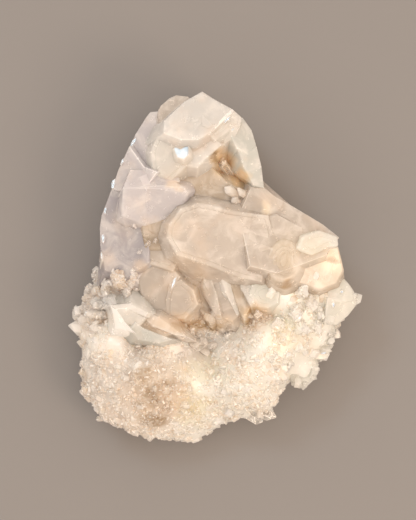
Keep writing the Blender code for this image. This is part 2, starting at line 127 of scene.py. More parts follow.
# %% A wrapped socket and a material maker
class Value:
    """An output socket that can be added, multiplied and so on."""

    def __init__(self, maker, socket):
        self.maker, self.socket = maker, socket

    def math(self, operation, first, second):
        return self.maker.node("ShaderNodeMath", {"operation": operation}, {0: first, 1: second})

    def __add__(self, other):
        return self.math("ADD", self, other)

    def __rsub__(self, other):
        return self.math("SUBTRACT", other, self)

    def __mul__(self, other):
        return self.math("MULTIPLY", self, other)


class Maker:
    """Builds one material's nodes."""

    def __init__(self, name):
        self.material = bpy.data.materials.new(name)
        self.material.use_nodes = True
        self.tree = self.material.node_tree
        self.tree.nodes.clear()

    def node(self, kind, settings=None, inputs=None, output=0):
        """Adds a node: its settings first, then the values or links of its inputs."""
        made = self.tree.nodes.new(kind)
        for name, value in (settings or {}).items():
            setattr(made, name, value)
        for name, value in (inputs or {}).items():
            if isinstance(value, Value):
                self.tree.links.new(value.socket, made.inputs[name])
            else:
                made.inputs[name].default_value = value
        return Value(self, made.outputs[output] if len(made.outputs) else None)

    def position(self):
        return self.node("ShaderNodeTexCoord", output="Object")

    def attribute(self, name, output="Fac"):
        """A value that the mesh carries."""
        return self.node("ShaderNodeAttribute", {"attribute_name": name}, output=output)

    def noise(self, place, size, detail=3.0, roughness=0.5, distortion=0.0, output="Fac"):
        """Noise whose lumps are about as large as the size, in millimetres."""
        return self.node(
            "ShaderNodeTexNoise", {}, {
                "Vector": place, "Scale": 1 / (size * MM), "Detail": detail, "Roughness": roughness,
                "Distortion": distortion,
            }, output,
        )

    def ramp(self, value, low, high):
        """0 below the low value, 1 above the high one."""
        return self.node(
            "ShaderNodeMapRange", {"interpolation_type": "SMOOTHSTEP"},
            {"Value": value, "From Min": low, "From Max": high},
        )

    def mix(self, factor, first, second):
        """Mixes two colours."""
        return self.node("ShaderNodeMix", {"data_type": "RGBA"}, {0: factor, 6: first, 7: second}, output=2)

    def bump(self, strength, distance, height):
        inputs = {"Strength": strength, "Distance": distance, "Height": height}
        return self.node("ShaderNodeBump", {}, inputs)

    def principled(self, **inputs):
        """The main shader. Its inputs are named with underscores for spaces."""
        named = {name.replace("_", " "): value for name, value in inputs.items()}
        return self.node("ShaderNodeBsdfPrincipled", {}, named)

    def finished(self, **outputs):
        """Joins the shaders to the material's output, and gives the material."""
        self.node("ShaderNodeOutputMaterial", {}, outputs)
        return self.material

    def vector(self, operation, first, second, output="Vector"):
        return self.node("ShaderNodeVectorMath", {"operation": operation}, {0: first, 1: second}, output)


print("shader maths ready")


# %% [markdown]
# ## Where the stone is stained, and where shade is painted
#
# Iron has stained the milky quartz: cream and yellow towards the near right, tan in the valley, golden
# brown in the hollow under the crown, and brown in the crust at the near left. The far left is a cool lilac
# grey. Over most of the stone the bare root between the crystals is painted a darker milk, as shade in the
# gaps, and two of the tan spots are painted shadows. Each stain is a soft-edged ellipse of the plan, and
# noise frays its edge.

# %% Stains, painted gap shade and painted shadows of the plan: place, reach in x and y, how strong
# where the bare root between the crystals is painted a darker milk: painted shade in the gaps
GAP_SHADE_SPOTS = [
    ((-6, 20), (36, 44), 1.0), ((22, 6), (22, 16), 1.0), ((-6, -3), (14, 10), 1.0),
    ((-25, -38), (18, 18), 0.6),
]
LILAC_SPOTS = [
    ((-26, 18), (13, 38), 1.0), ((-38, -6), (8, 12), 0.4), ((-7, -26), (7, 5), 0.4),
    ((-12, -8), (12, 10), 0.4),
]
CREAM_SPOTS = [((30, -14), (26, 26), 1.0), ((4, -40), (18, 16), 0.9)]
YELLOW_SPOTS = [
    ((-7, -42), (7, 6), 0.8), ((22, -20), (6, 6), 0.4), ((36, 3), (5, 5), 0.5), ((17, 19.5), (2.5, 2), 0.6),
    ((-4, -31), (10, 5), 0.4), ((26, 6), (10, 8), 0.2),
]
# tan stains; the spots at (-11, 26), under the crown's left edge, and at (-22, 1) are painted shadows
TAN_STAIN_AND_SHADOW_SPOTS = [
    ((-6, -16), (14, 3.5), 1.0), ((-4, -4), (4, 10), 0.5), ((-10, 2), (6, 4), 0.4),
    ((14, -14), (4.5, 5), 0.9), ((-18, -38), (12, 10), 0.7), ((-8, 29), (8, 5), 0.25),
    ((-35, -15), (6, 3), 0.4), ((-12, 13), (3, 5), 0.3), ((-22, 1), (3, 3), 0.5), ((-11, 26), (3, 2), 0.7),
]
BROWN_SPOTS = [
    ((0.6, 34.6), (1.3, 2.6), 0.9), ((8.6, 27.2), (1.0, 1.8), 0.7), ((-20, -32), (4, 3), 0.8),
    ((-18.5, -38), (3, 4), 0.7), ((-18, -46), (6, 3), 0.8), ((23, -4.5), (2.0, 1.8), 0.9),
    ((-31, -6), (4, 2), 0.5), ((12.5, -14), (2.5, 4), 0.7), ((-10, -17), (3, 2), 0.5),
    ((-1, -17), (5, 2), 0.5), ((-12, -34), (3, 2), 0.5), ((-41, -33), (2, 3), 0.5),
    ((-19.3, -38), (0.7, 1.6), 1.0), ((-18, -39.7), (0.7, 1.4), 1.0), ((37, 3.5), (2, 1.2), 0.8),
]
GOLDEN_SPOTS = [
    ((3.2, 33), (4.2, 5.2), 1.0), ((7.5, 28.6), (4, 3.2), 0.9), ((-1, -17), (7, 2.5), 0.6),
    ((12.5, -14), (3.5, 4.5), 0.7),
]
FULL_WITHIN, GONE_BEYOND = 0.35, 1.25  # shares of a spot's reach
FRAY, FRAY_SIZE = 3.0, 6.0  # how far noise moves an edge, and the size of its lumps, in millimetres


def stain(maker, place, spots):
    """A mask of the spots: 1 in the middle of a full one, 0 outside them all."""
    covered = None
    for (x, y), (reach_x, reach_y), strength in spots:
        stretched = maker.node("ShaderNodeMapping", {"vector_type": "POINT"}, {
            "Vector": place,
            "Location": (-(x + shift.x) / reach_x, -(y + shift.y) / reach_y, 0),
            "Scale": (1 / (reach_x * MM), 1 / (reach_y * MM), 0),
        })
        away = maker.vector("LENGTH", stretched, (0, 0, 0), output="Value")
        spot = (1 - maker.ramp(away, FULL_WITHIN, GONE_BEYOND)) * strength
        covered = spot if covered is None else maker.node(
            "ShaderNodeMath", {"operation": "MAXIMUM"}, {0: covered, 1: spot})
    return covered


def frayed(maker, place):
    """The place, moved a little by noise."""
    wander = maker.noise(place, FRAY_SIZE, detail=4.0, output="Color")
    wander = maker.vector("SUBTRACT", wander, (0.5, 0.5, 0.5))
    wander = maker.vector("MULTIPLY", wander, (2 * FRAY * MM, 2 * FRAY * MM, 0))
    return maker.vector("ADD", place, wander)


print(len(YELLOW_SPOTS + TAN_STAIN_AND_SHADOW_SPOTS + GOLDEN_SPOTS + BROWN_SPOTS), "stains")

# %% [markdown]
# ## The milky quartz
#
# Milky quartz is clear quartz full of tiny fluid veils. Light goes in, scatters and comes out again a few
# millimetres away, so the stone glows and its shadows are soft. Subsurface scattering gives that, and some
# plain transmission lets the eye look into it. The index of refraction is quartz's own. Colour, gloss and
# the fine relief vary over the stone.

# %% The stone's colours
QUARTZ_IOR = 1.544
MILKY = (0.97, 0.92, 0.86, 1)
# a darker, warmer milk, painted on the bare root as shade in the gaps between the crystals
GAP_SHADE_MILK = (0.60, 0.55, 0.50, 1)
LILAC_MILK = (0.66, 0.62, 0.63, 1)
CREAM_MILK = (0.96, 0.94, 0.87, 1)
YELLOW_STAIN = (0.98, 0.86, 0.66, 1)
# tan, for stains and for two painted shadows
TAN_STAIN_AND_SHADOW = (0.72, 0.58, 0.44, 1)
BROWN_STAIN = (0.40, 0.28, 0.16, 1)
GOLDEN_STAIN = (0.80, 0.61, 0.39, 1)
ZONES = [(GAP_SHADE_SPOTS, GAP_SHADE_MILK), (LILAC_SPOTS, LILAC_MILK), (CREAM_SPOTS, CREAM_MILK)]
STAINS = [
    (YELLOW_SPOTS, YELLOW_STAIN), (TAN_STAIN_AND_SHADOW_SPOTS, TAN_STAIN_AND_SHADOW), (GOLDEN_SPOTS, GOLDEN_STAIN),
    (BROWN_SPOTS, BROWN_STAIN),
]


def stone_color(maker, place, own=None):
    """The stone's colour: zone colours, painted gap shade among them, or a crystal's own tint, then stains and
    painted shadows.
    """
    worn = frayed(maker, place)
    color = MILKY
    for spots, zone_color in ZONES:
        color = maker.mix(stain(maker, worn, spots), color, zone_color)
    if own:
        tint, share = own
        color = maker.mix(share, color, tint)
    for spots, stain_color in STAINS:
        color = maker.mix(stain(maker, worn, spots), color, stain_color)
    return color


print(len(ZONES), "zones and", len(STAINS), "kinds of stain")

# %% The milky quartz material
VEIL_COLOR, VEIL_SHARE = (0.99, 0.95, 0.90, 1), 0.35
DEPTH_COLOR, DEPTH_SHARE = (0.74, 0.60, 0.48, 1), 0.35
SMOOTHEST, ROUGHER = 0.13, 0.18  # the least roughness, and how much frost adds to it
POLISH_GAIN = 0.8  # the share of the roughness that full polish takes away
RELIEF, RELIEF_HEIGHT = 0.1, 0.3 * MM
SCATTER = 7 * MM  # how far light goes inside before it comes out
MILKY_CLEAR = 0.2  # the share of light that goes straight through


def milky_quartz():
    maker = Maker("milky_quartz")
    place = maker.position()
    color = stone_color(maker, place, (maker.attribute("tint", "Color"), maker.attribute("tint", "Alpha")))
    veils = maker.ramp(maker.noise(place, 6.0, detail=6.0, roughness=0.62, distortion=0.6), 0.42, 0.68)
    color = maker.mix(veils * VEIL_SHARE, color, VEIL_COLOR)
    depths = maker.ramp(maker.noise(place, 9.0, detail=4.0, distortion=0.3), 0.5, 0.75)
    color = maker.mix(depths * DEPTH_SHARE, color, DEPTH_COLOR)
    frost = maker.ramp(maker.noise(place, 2.5, detail=5.0, roughness=0.65), 0.3, 0.75)
    dulled = 1 - maker.attribute("polish") * POLISH_GAIN
    relief = maker.noise(place, 0.9, detail=3.0) + maker.noise(place, 4.0, detail=2.0) * 0.6
    bump = maker.bump(RELIEF, RELIEF_HEIGHT, relief)
    return maker.finished(Surface=maker.principled(
        Base_Color=color,
        Roughness=(frost * ROUGHER + SMOOTHEST) * dulled,
        IOR=QUARTZ_IOR,
        Subsurface_Weight=1.0,
        Subsurface_Radius=(1.0, 1.0, 1.0),
        Subsurface_Scale=SCATTER,
        Transmission_Weight=MILKY_CLEAR,
        Normal=bump,
    ))


milky = milky_quartz()
print("material", milky.name, len(milky.node_tree.nodes), "nodes")


# %% [markdown]
# ## The root
#
# Under all the crystals lies massive quartz with no faces of its own. It is the CAD solid with its corners
# worn away: a copy is merged, rebuilt in small cubes by a voxel remesh, and smoothed until only the swells
# are left. The CAD part itself stays as it is.

# %% Wear a copy of the solid down to a lumpy root
VOXEL = 1.3 * MM
WEAR = 26  # passes of smoothing
SUNK = 0.9 * MM  # how far the root lies below the faces
MERGED = 0.005 * MM  # corners nearer than this become one
cad = frame["nodes"]["quartz_cluster"]


def alone(obj):
    """Makes the object the only one selected, and active."""
    bpy.ops.object.select_all(action="DESELECT")
    obj.select_set(True)
    bpy.context.view_layer.objects.active = obj


def modified(obj, kind, **settings):
    """Adds a modifier with its settings and applies it."""
    alone(obj)
    modifier = obj.modifiers.new(kind.lower(), kind)
    for name, value in settings.items():
        setattr(modifier, name, value)
    bpy.ops.object.modifier_apply(modifier=modifier.name)


def in_edit_mode(obj):
    alone(obj)
    bpy.ops.object.mode_set(mode="EDIT")
    bpy.ops.mesh.select_all(action="SELECT")


def edited(obj, operator, **settings):
    """Applies an operator to all of the object in edit mode."""
    in_edit_mode(obj)
    operator(**settings)
    bpy.ops.object.mode_set(mode="OBJECT")


stone = bpy.data.objects.new("quartz_mass", cad.data.copy())
bpy.context.scene.collection.objects.link(stone)
edited(stone, bpy.ops.mesh.remove_doubles, threshold=MERGED)
modified(stone, "REMESH", mode="VOXEL", voxel_size=VOXEL)
modified(stone, "SMOOTH", factor=0.5, iterations=WEAR)
modified(stone, "DISPLACE", direction="Z", strength=-SUNK, mid_level=0)
print("root:", len(stone.data.polygons), "faces")

# %% [markdown]
# ## One crystal, many times
#
# A quartz crystal is a six-sided prism whose end is cut by six leaning faces, and no two ends are cut
# alike. A few are modelled one by one, with the tip at the origin and the root down the axis: a cylinder,
# bisected six times, with fine bevels on the large ones. Every other crystal is a copy, made as thick and
# long as it has to be, without stretching its end.

# %% Model the pattern crystals
LEAN = math.radians(38.2)  # the end faces lean this much from the side faces
SIDES = 6
PATTERN_LENGTH, FOOT_BELOW = 4.0, 2.5  # for a radius of 1: the length, and how far down the foot begins
# How deep each end face cuts in, as shares of the crystal's radius
ENDS = [
    (0.0, 0.35, 0.05, 0.40, 0.0, 0.30), (0.0, 0.12, 0.0, 0.15, 0.05, 0.10),
    (0.0, 0.75, 0.40, 0.60, 0.10, 0.90), (0.0, 0.20, 0.55, 0.70, 0.50, 0.15),
    (0.0, 0.50, 0.0, 0.55, 0.0, 0.45), (0.25, 0.0, 0.45, 0.9, 0.6, 0.05),
]


def arrays(obj):
    """The object's vertices, and the vertex numbers of its faces."""
    places = np.array([vertex.co for vertex in obj.data.vertices])
    return places, [list(polygon.vertices) for polygon in obj.data.polygons]


def model_end(name, depths, bevel, sides=()):
    """A crystal with its tip at the origin and its root at the bottom.

    The end faces cut in by the depths. Sides are more cuts along the crystal: (turn, depth).
    """
    bpy.ops.object.select_all(action="DESELECT")
    bpy.ops.mesh.primitive_cylinder_add(
        vertices=SIDES, radius=1, depth=PATTERN_LENGTH, location=(0, 0, -PATTERN_LENGTH / 2))
    bpy.ops.object.transform_apply(location=True, rotation=True, scale=True)
    crystal = bpy.context.object
    crystal.name = name
    bpy.ops.object.mode_set(mode="EDIT")
    cuts = []
    for face, depth in enumerate(depths):
        turn = math.tau * (face + 0.5) / SIDES
        normal = Vector((math.cos(turn) * math.cos(LEAN), math.sin(turn) * math.cos(LEAN), math.sin(LEAN)))
        cuts.append((normal, -depth))
    for turn, depth in sides:
        cuts.append((Vector((math.cos(turn), math.sin(turn), 0)), 1 - depth))
    for normal, distance in cuts:
        bpy.ops.mesh.select_all(action="SELECT")
        bpy.ops.mesh.bisect(plane_co=normal * distance, plane_no=normal, use_fill=True, clear_outer=True)
    if bevel:
        bpy.ops.mesh.select_all(action="SELECT")
        bpy.ops.mesh.bevel(offset=bevel, segments=1, affect="EDGES", clamp_overlap=True)
    bpy.ops.object.mode_set(mode="OBJECT")
    places, faces = arrays(crystal)
    places[:, 2] -= places[:, 2].max()
    bpy.data.objects.remove(crystal, do_unlink=True)
    return places, faces


BEVEL, FINE_BEVEL = 0.08, 0.03
large_ends = [model_end(f"large end {i}", depths, BEVEL) for i, depths in enumerate(ENDS)]
small_ends = [model_end(f"small end {i}", depths, 0) for i, depths in enumerate(ENDS)]
NO_ENDS = (-1.0,) * SIDES
# The extra side cuts that make the blunt ends uneven: turn, depth
BLUNT = [
    [(0.4, 0.5), (2.6, 0.7), (5.0, 0.35)],
    [(0.0, 0.6), (1.3, 0.3), (3.9, 0.8)],
    [(0.9, 0.75), (4.1, 0.55), (5.6, 0.4)],
    [(1.8, 0.5), (2.9, 0.4), (5.2, 0.9)],
]
blunt_ends = [model_end(f"blunt end {i}", NO_ENDS, FINE_BEVEL, sides) for i, sides in enumerate(BLUNT)]
print("patterns:", [len(faces) for _, faces in large_ends], [len(faces) for _, faces in small_ends])


# %% Copy crystals into one mesh
def upright(along, roll):
    """The turn that takes +Z to the direction, and +X as far up as it can be, then rolls."""
    up = Vector((0, 0, 1)) if abs(along.z) < 0.97 else Vector((0, 1, 0))
    across = (up - along * up.dot(along)).normalized()
    frame_of_axes = Matrix((across, along.cross(across), along)).transposed()
    return frame_of_axes @ Matrix.Rotation(roll, 3, "Z")


def crystal_points(pattern, tip, along, length, radius, flatness, roll):
    """A pattern's vertices, for a crystal with its tip at the place, pointing along the direction."""
    places = pattern.copy()
    root = places[:, 2] < -FOOT_BELOW
    places *= (radius * flatness, radius, radius)
    places[root, 2] = -length
    turn = np.array(upright(along, roll))
    return places @ turn.T + np.array(tip)


def thin_faces(places, faces, width):
    """1.0 for each face that is a strip of about the width, 0.0 for the others."""
    thin = []
    for face in faces:
        corners = places[face]
        steps = np.roll(corners, -1, axis=0) - corners
        area = np.linalg.norm(np.cross(corners, np.roll(corners, -1, axis=0)).sum(axis=0)) / 2
        thin.append(float(area < width * 0.6 * np.linalg.norm(steps, axis=1).sum()))
    return thin


print("crystals can be copied")

# %% Make one piece of many crystals
FLOOR_GAP = 0.3 * MM  # crystals that would reach lower than this are left out


def new_object(name, places, faces, collection):
    mesh = bpy.data.meshes.new(name)
    mesh.from_pydata(places.tolist(), [], faces)
    obj = bpy.data.objects.new(name, mesh)
    collection.objects.link(obj)
    return obj


def dressed(piece, material):
    """Gives a finished piece its material and its place in the frame."""
    piece.data.materials.clear()
    piece.data.materials.append(material)
    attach(piece, "root")
    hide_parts("quartz_cluster")


def crystals(name, plants, patterns, material):
    """One piece of many crystals. A plant is (tip, direction, length, radius, flatness, roll, tint)."""
    places, faces, depth, chance, facet, rims = [], [], [], [], [], []
    count, planted = 0, 0
    for tip, along, length, radius, flatness, roll, _ in plants:
        pattern, pattern_faces = patterns[chooser.integers(len(patterns))]
        grown = crystal_points(pattern, tip, along, length, radius, flatness, roll)
        if grown[:, 2].min() < FLOOR_GAP:
            continue
        places.append(grown)
        faces += [[v + count for v in face] for face in pattern_faces]
        depth.append((np.array(tip) - grown) @ np.array(along) / MM)
        chance.append(np.full(len(pattern), chooser.random()))
        facet += list(chooser.random(len(pattern_faces)))
        # rim marks the thin bevel strips, which the clear material paints milkier as a highlight
        rims += thin_faces(grown, pattern_faces, BEVEL * radius)
        count += len(pattern)
        planted += 1
    piece = new_object(name, np.concatenate(places), faces, bpy.context.scene.collection)
    mesh = piece.data
    for label, values in (("depth", depth), ("chance", chance)):
        attribute = mesh.attributes.new(label, "FLOAT", "POINT")
        attribute.data.foreach_set("value", np.concatenate(values).astype(np.float32))
    mesh.attributes.new("rim", "FLOAT", "FACE").data.foreach_set("value", rims)
    mesh.attributes.new("facet", "FLOAT", "FACE").data.foreach_set("value", facet)
    dressed(piece, material)
    triangles = sum(len(face) - 2 for face in faces)
    print(f"{name}: {planted} crystals, {triangles} triangles")


print("crystals can be joined in one piece")


# %% [markdown]
# ## Places on the stone
#
# Small crystals grow wherever there is room. Their places are drawn by chance, evenly over the surface of
# the stone as it is so far, and a rule keeps the ones that are wanted there.

# %% Draw places on a surface
chooser = np.random.default_rng(7)


class Surface:
    """An object's surface, to plant crystals on."""

    def __init__(self, obj):
        mesh = obj.data
        mesh.calc_loop_triangles()
        self.corners = np.array([[mesh.vertices[v].co for v in t.vertices] for t in mesh.loop_triangles])
        across = np.cross(self.corners[:, 1] - self.corners[:, 0], self.corners[:, 2] - self.corners[:, 0])
        self.areas = np.linalg.norm(across, axis=1) / 2
        self.normals = across / np.maximum(2 * self.areas, 1e-15)[:, None]
        tints = mesh.attributes["tint"].data
        self.tints = np.array([tints[t.loops[0]].color for t in mesh.loop_triangles])

    def places(self, number):
        """Chance places, with their normals and tints."""
        picked = chooser.choice(len(self.areas), number, p=self.areas / self.areas.sum())
        a, b = chooser.random((2, number))
        over = a + b > 1
        a[over], b[over] = 1 - a[over], 1 - b[over]
        first, second, third = self.corners[picked].transpose(1, 0, 2)
        places = first + a[:, None] * (second - first) + b[:, None] * (third - first)
        return places, self.normals[picked], self.tints[picked]


def on_plan(places):
    """The plan's x and y of frame places."""
    return places[:, 0] / MM - shift.x, places[:, 1] / MM - shift.y


def inside(places, spots):
    """How far inside the ellipses the places are: 1 at a middle, 0 at an edge and outside."""
    x, y = on_plan(places)
    best = np.zeros(len(places))
    for (spot_x, spot_y), (reach_x, reach_y) in spots:
        best = np.maximum(best, 1 - np.hypot((x - spot_x) / reach_x, (y - spot_y) / reach_y))
    return best


def lumpy(places, size, seed=0.0):
    """Noise from about -1 to 1 at the places, in lumps of the size."""
    return np.array([noise.noise(Vector(p) / (size * MM) + Vector((0, 0, seed))) for p in places]) * 2


def plants_on(surface, number, radii, lengths, lean, sunk, rule):
    """Crystals for a surface: (tip, direction, length, radius, flatness, roll, tint) each."""
    places, normals, tints = surface.places(number)
    keep = rule(places, normals, tints)
    plants = []
    for place, normal, tint in zip(places[keep], normals[keep], tints[keep]):
        along = Vector(normal + chooser.normal(0, lean, 3)).normalized()
        size = chooser.random() ** 2
        radius = (radii[0] + (radii[1] - radii[0]) * size) * MM
        length = (lengths[0] + (lengths[1] - lengths[0]) * size) * MM
        tip = Vector(place) + along * length * (1 - sunk)
        flatness, roll = chooser.uniform(0.7, 1), chooser.uniform(0, math.tau)
        plants.append((tip, along, length, radius, flatness, roll, tint))
    return plants


print("drawing places with", type(chooser.bit_generator).__name__)

# %% [markdown]
# ## The broad crystals
#
# The large flat faces are the ends and sides of crystals as wide as a thumb, sunk side by side in the root.
# Each is modelled as a disc with the face's own corners, extruded down into the root with its sides leaning
# out, so that neighbours run into each other in a crease. The lobes at the outline stand free: their sides
# are steep and their edges rounder. Some faces are inset and raised a hair, once or more: these are the
# steps in which quartz grows. The edges get a fine bevel that catches the light, and the thin bevels are
# tinted brighter as a painted highlight. Each crystal keeps its own tint, because no two are equally milky.

# %% Tints of the crystals
MILK = (0.64, 0.635, 0.62)
PALE = (0.65, 0.64, 0.61)
WHITE = (0.90, 0.90, 0.88)
LILAC = (0.42, 0.405, 0.43)
PALE_LILAC = (0.57, 0.55, 0.57)
CREAM = (0.68, 0.68, 0.63)
SHADE = (0.56, 0.575, 0.55)
SAND = (0.53, 0.475, 0.42)
CLAY = (0.55, 0.48, 0.40)
TAN = (0.46, 0.385, 0.30)
BROWN = (0.36, 0.27, 0.19)
GOLDEN = (0.80, 0.66, 0.48)
print("from", WHITE, "to", BROWN)

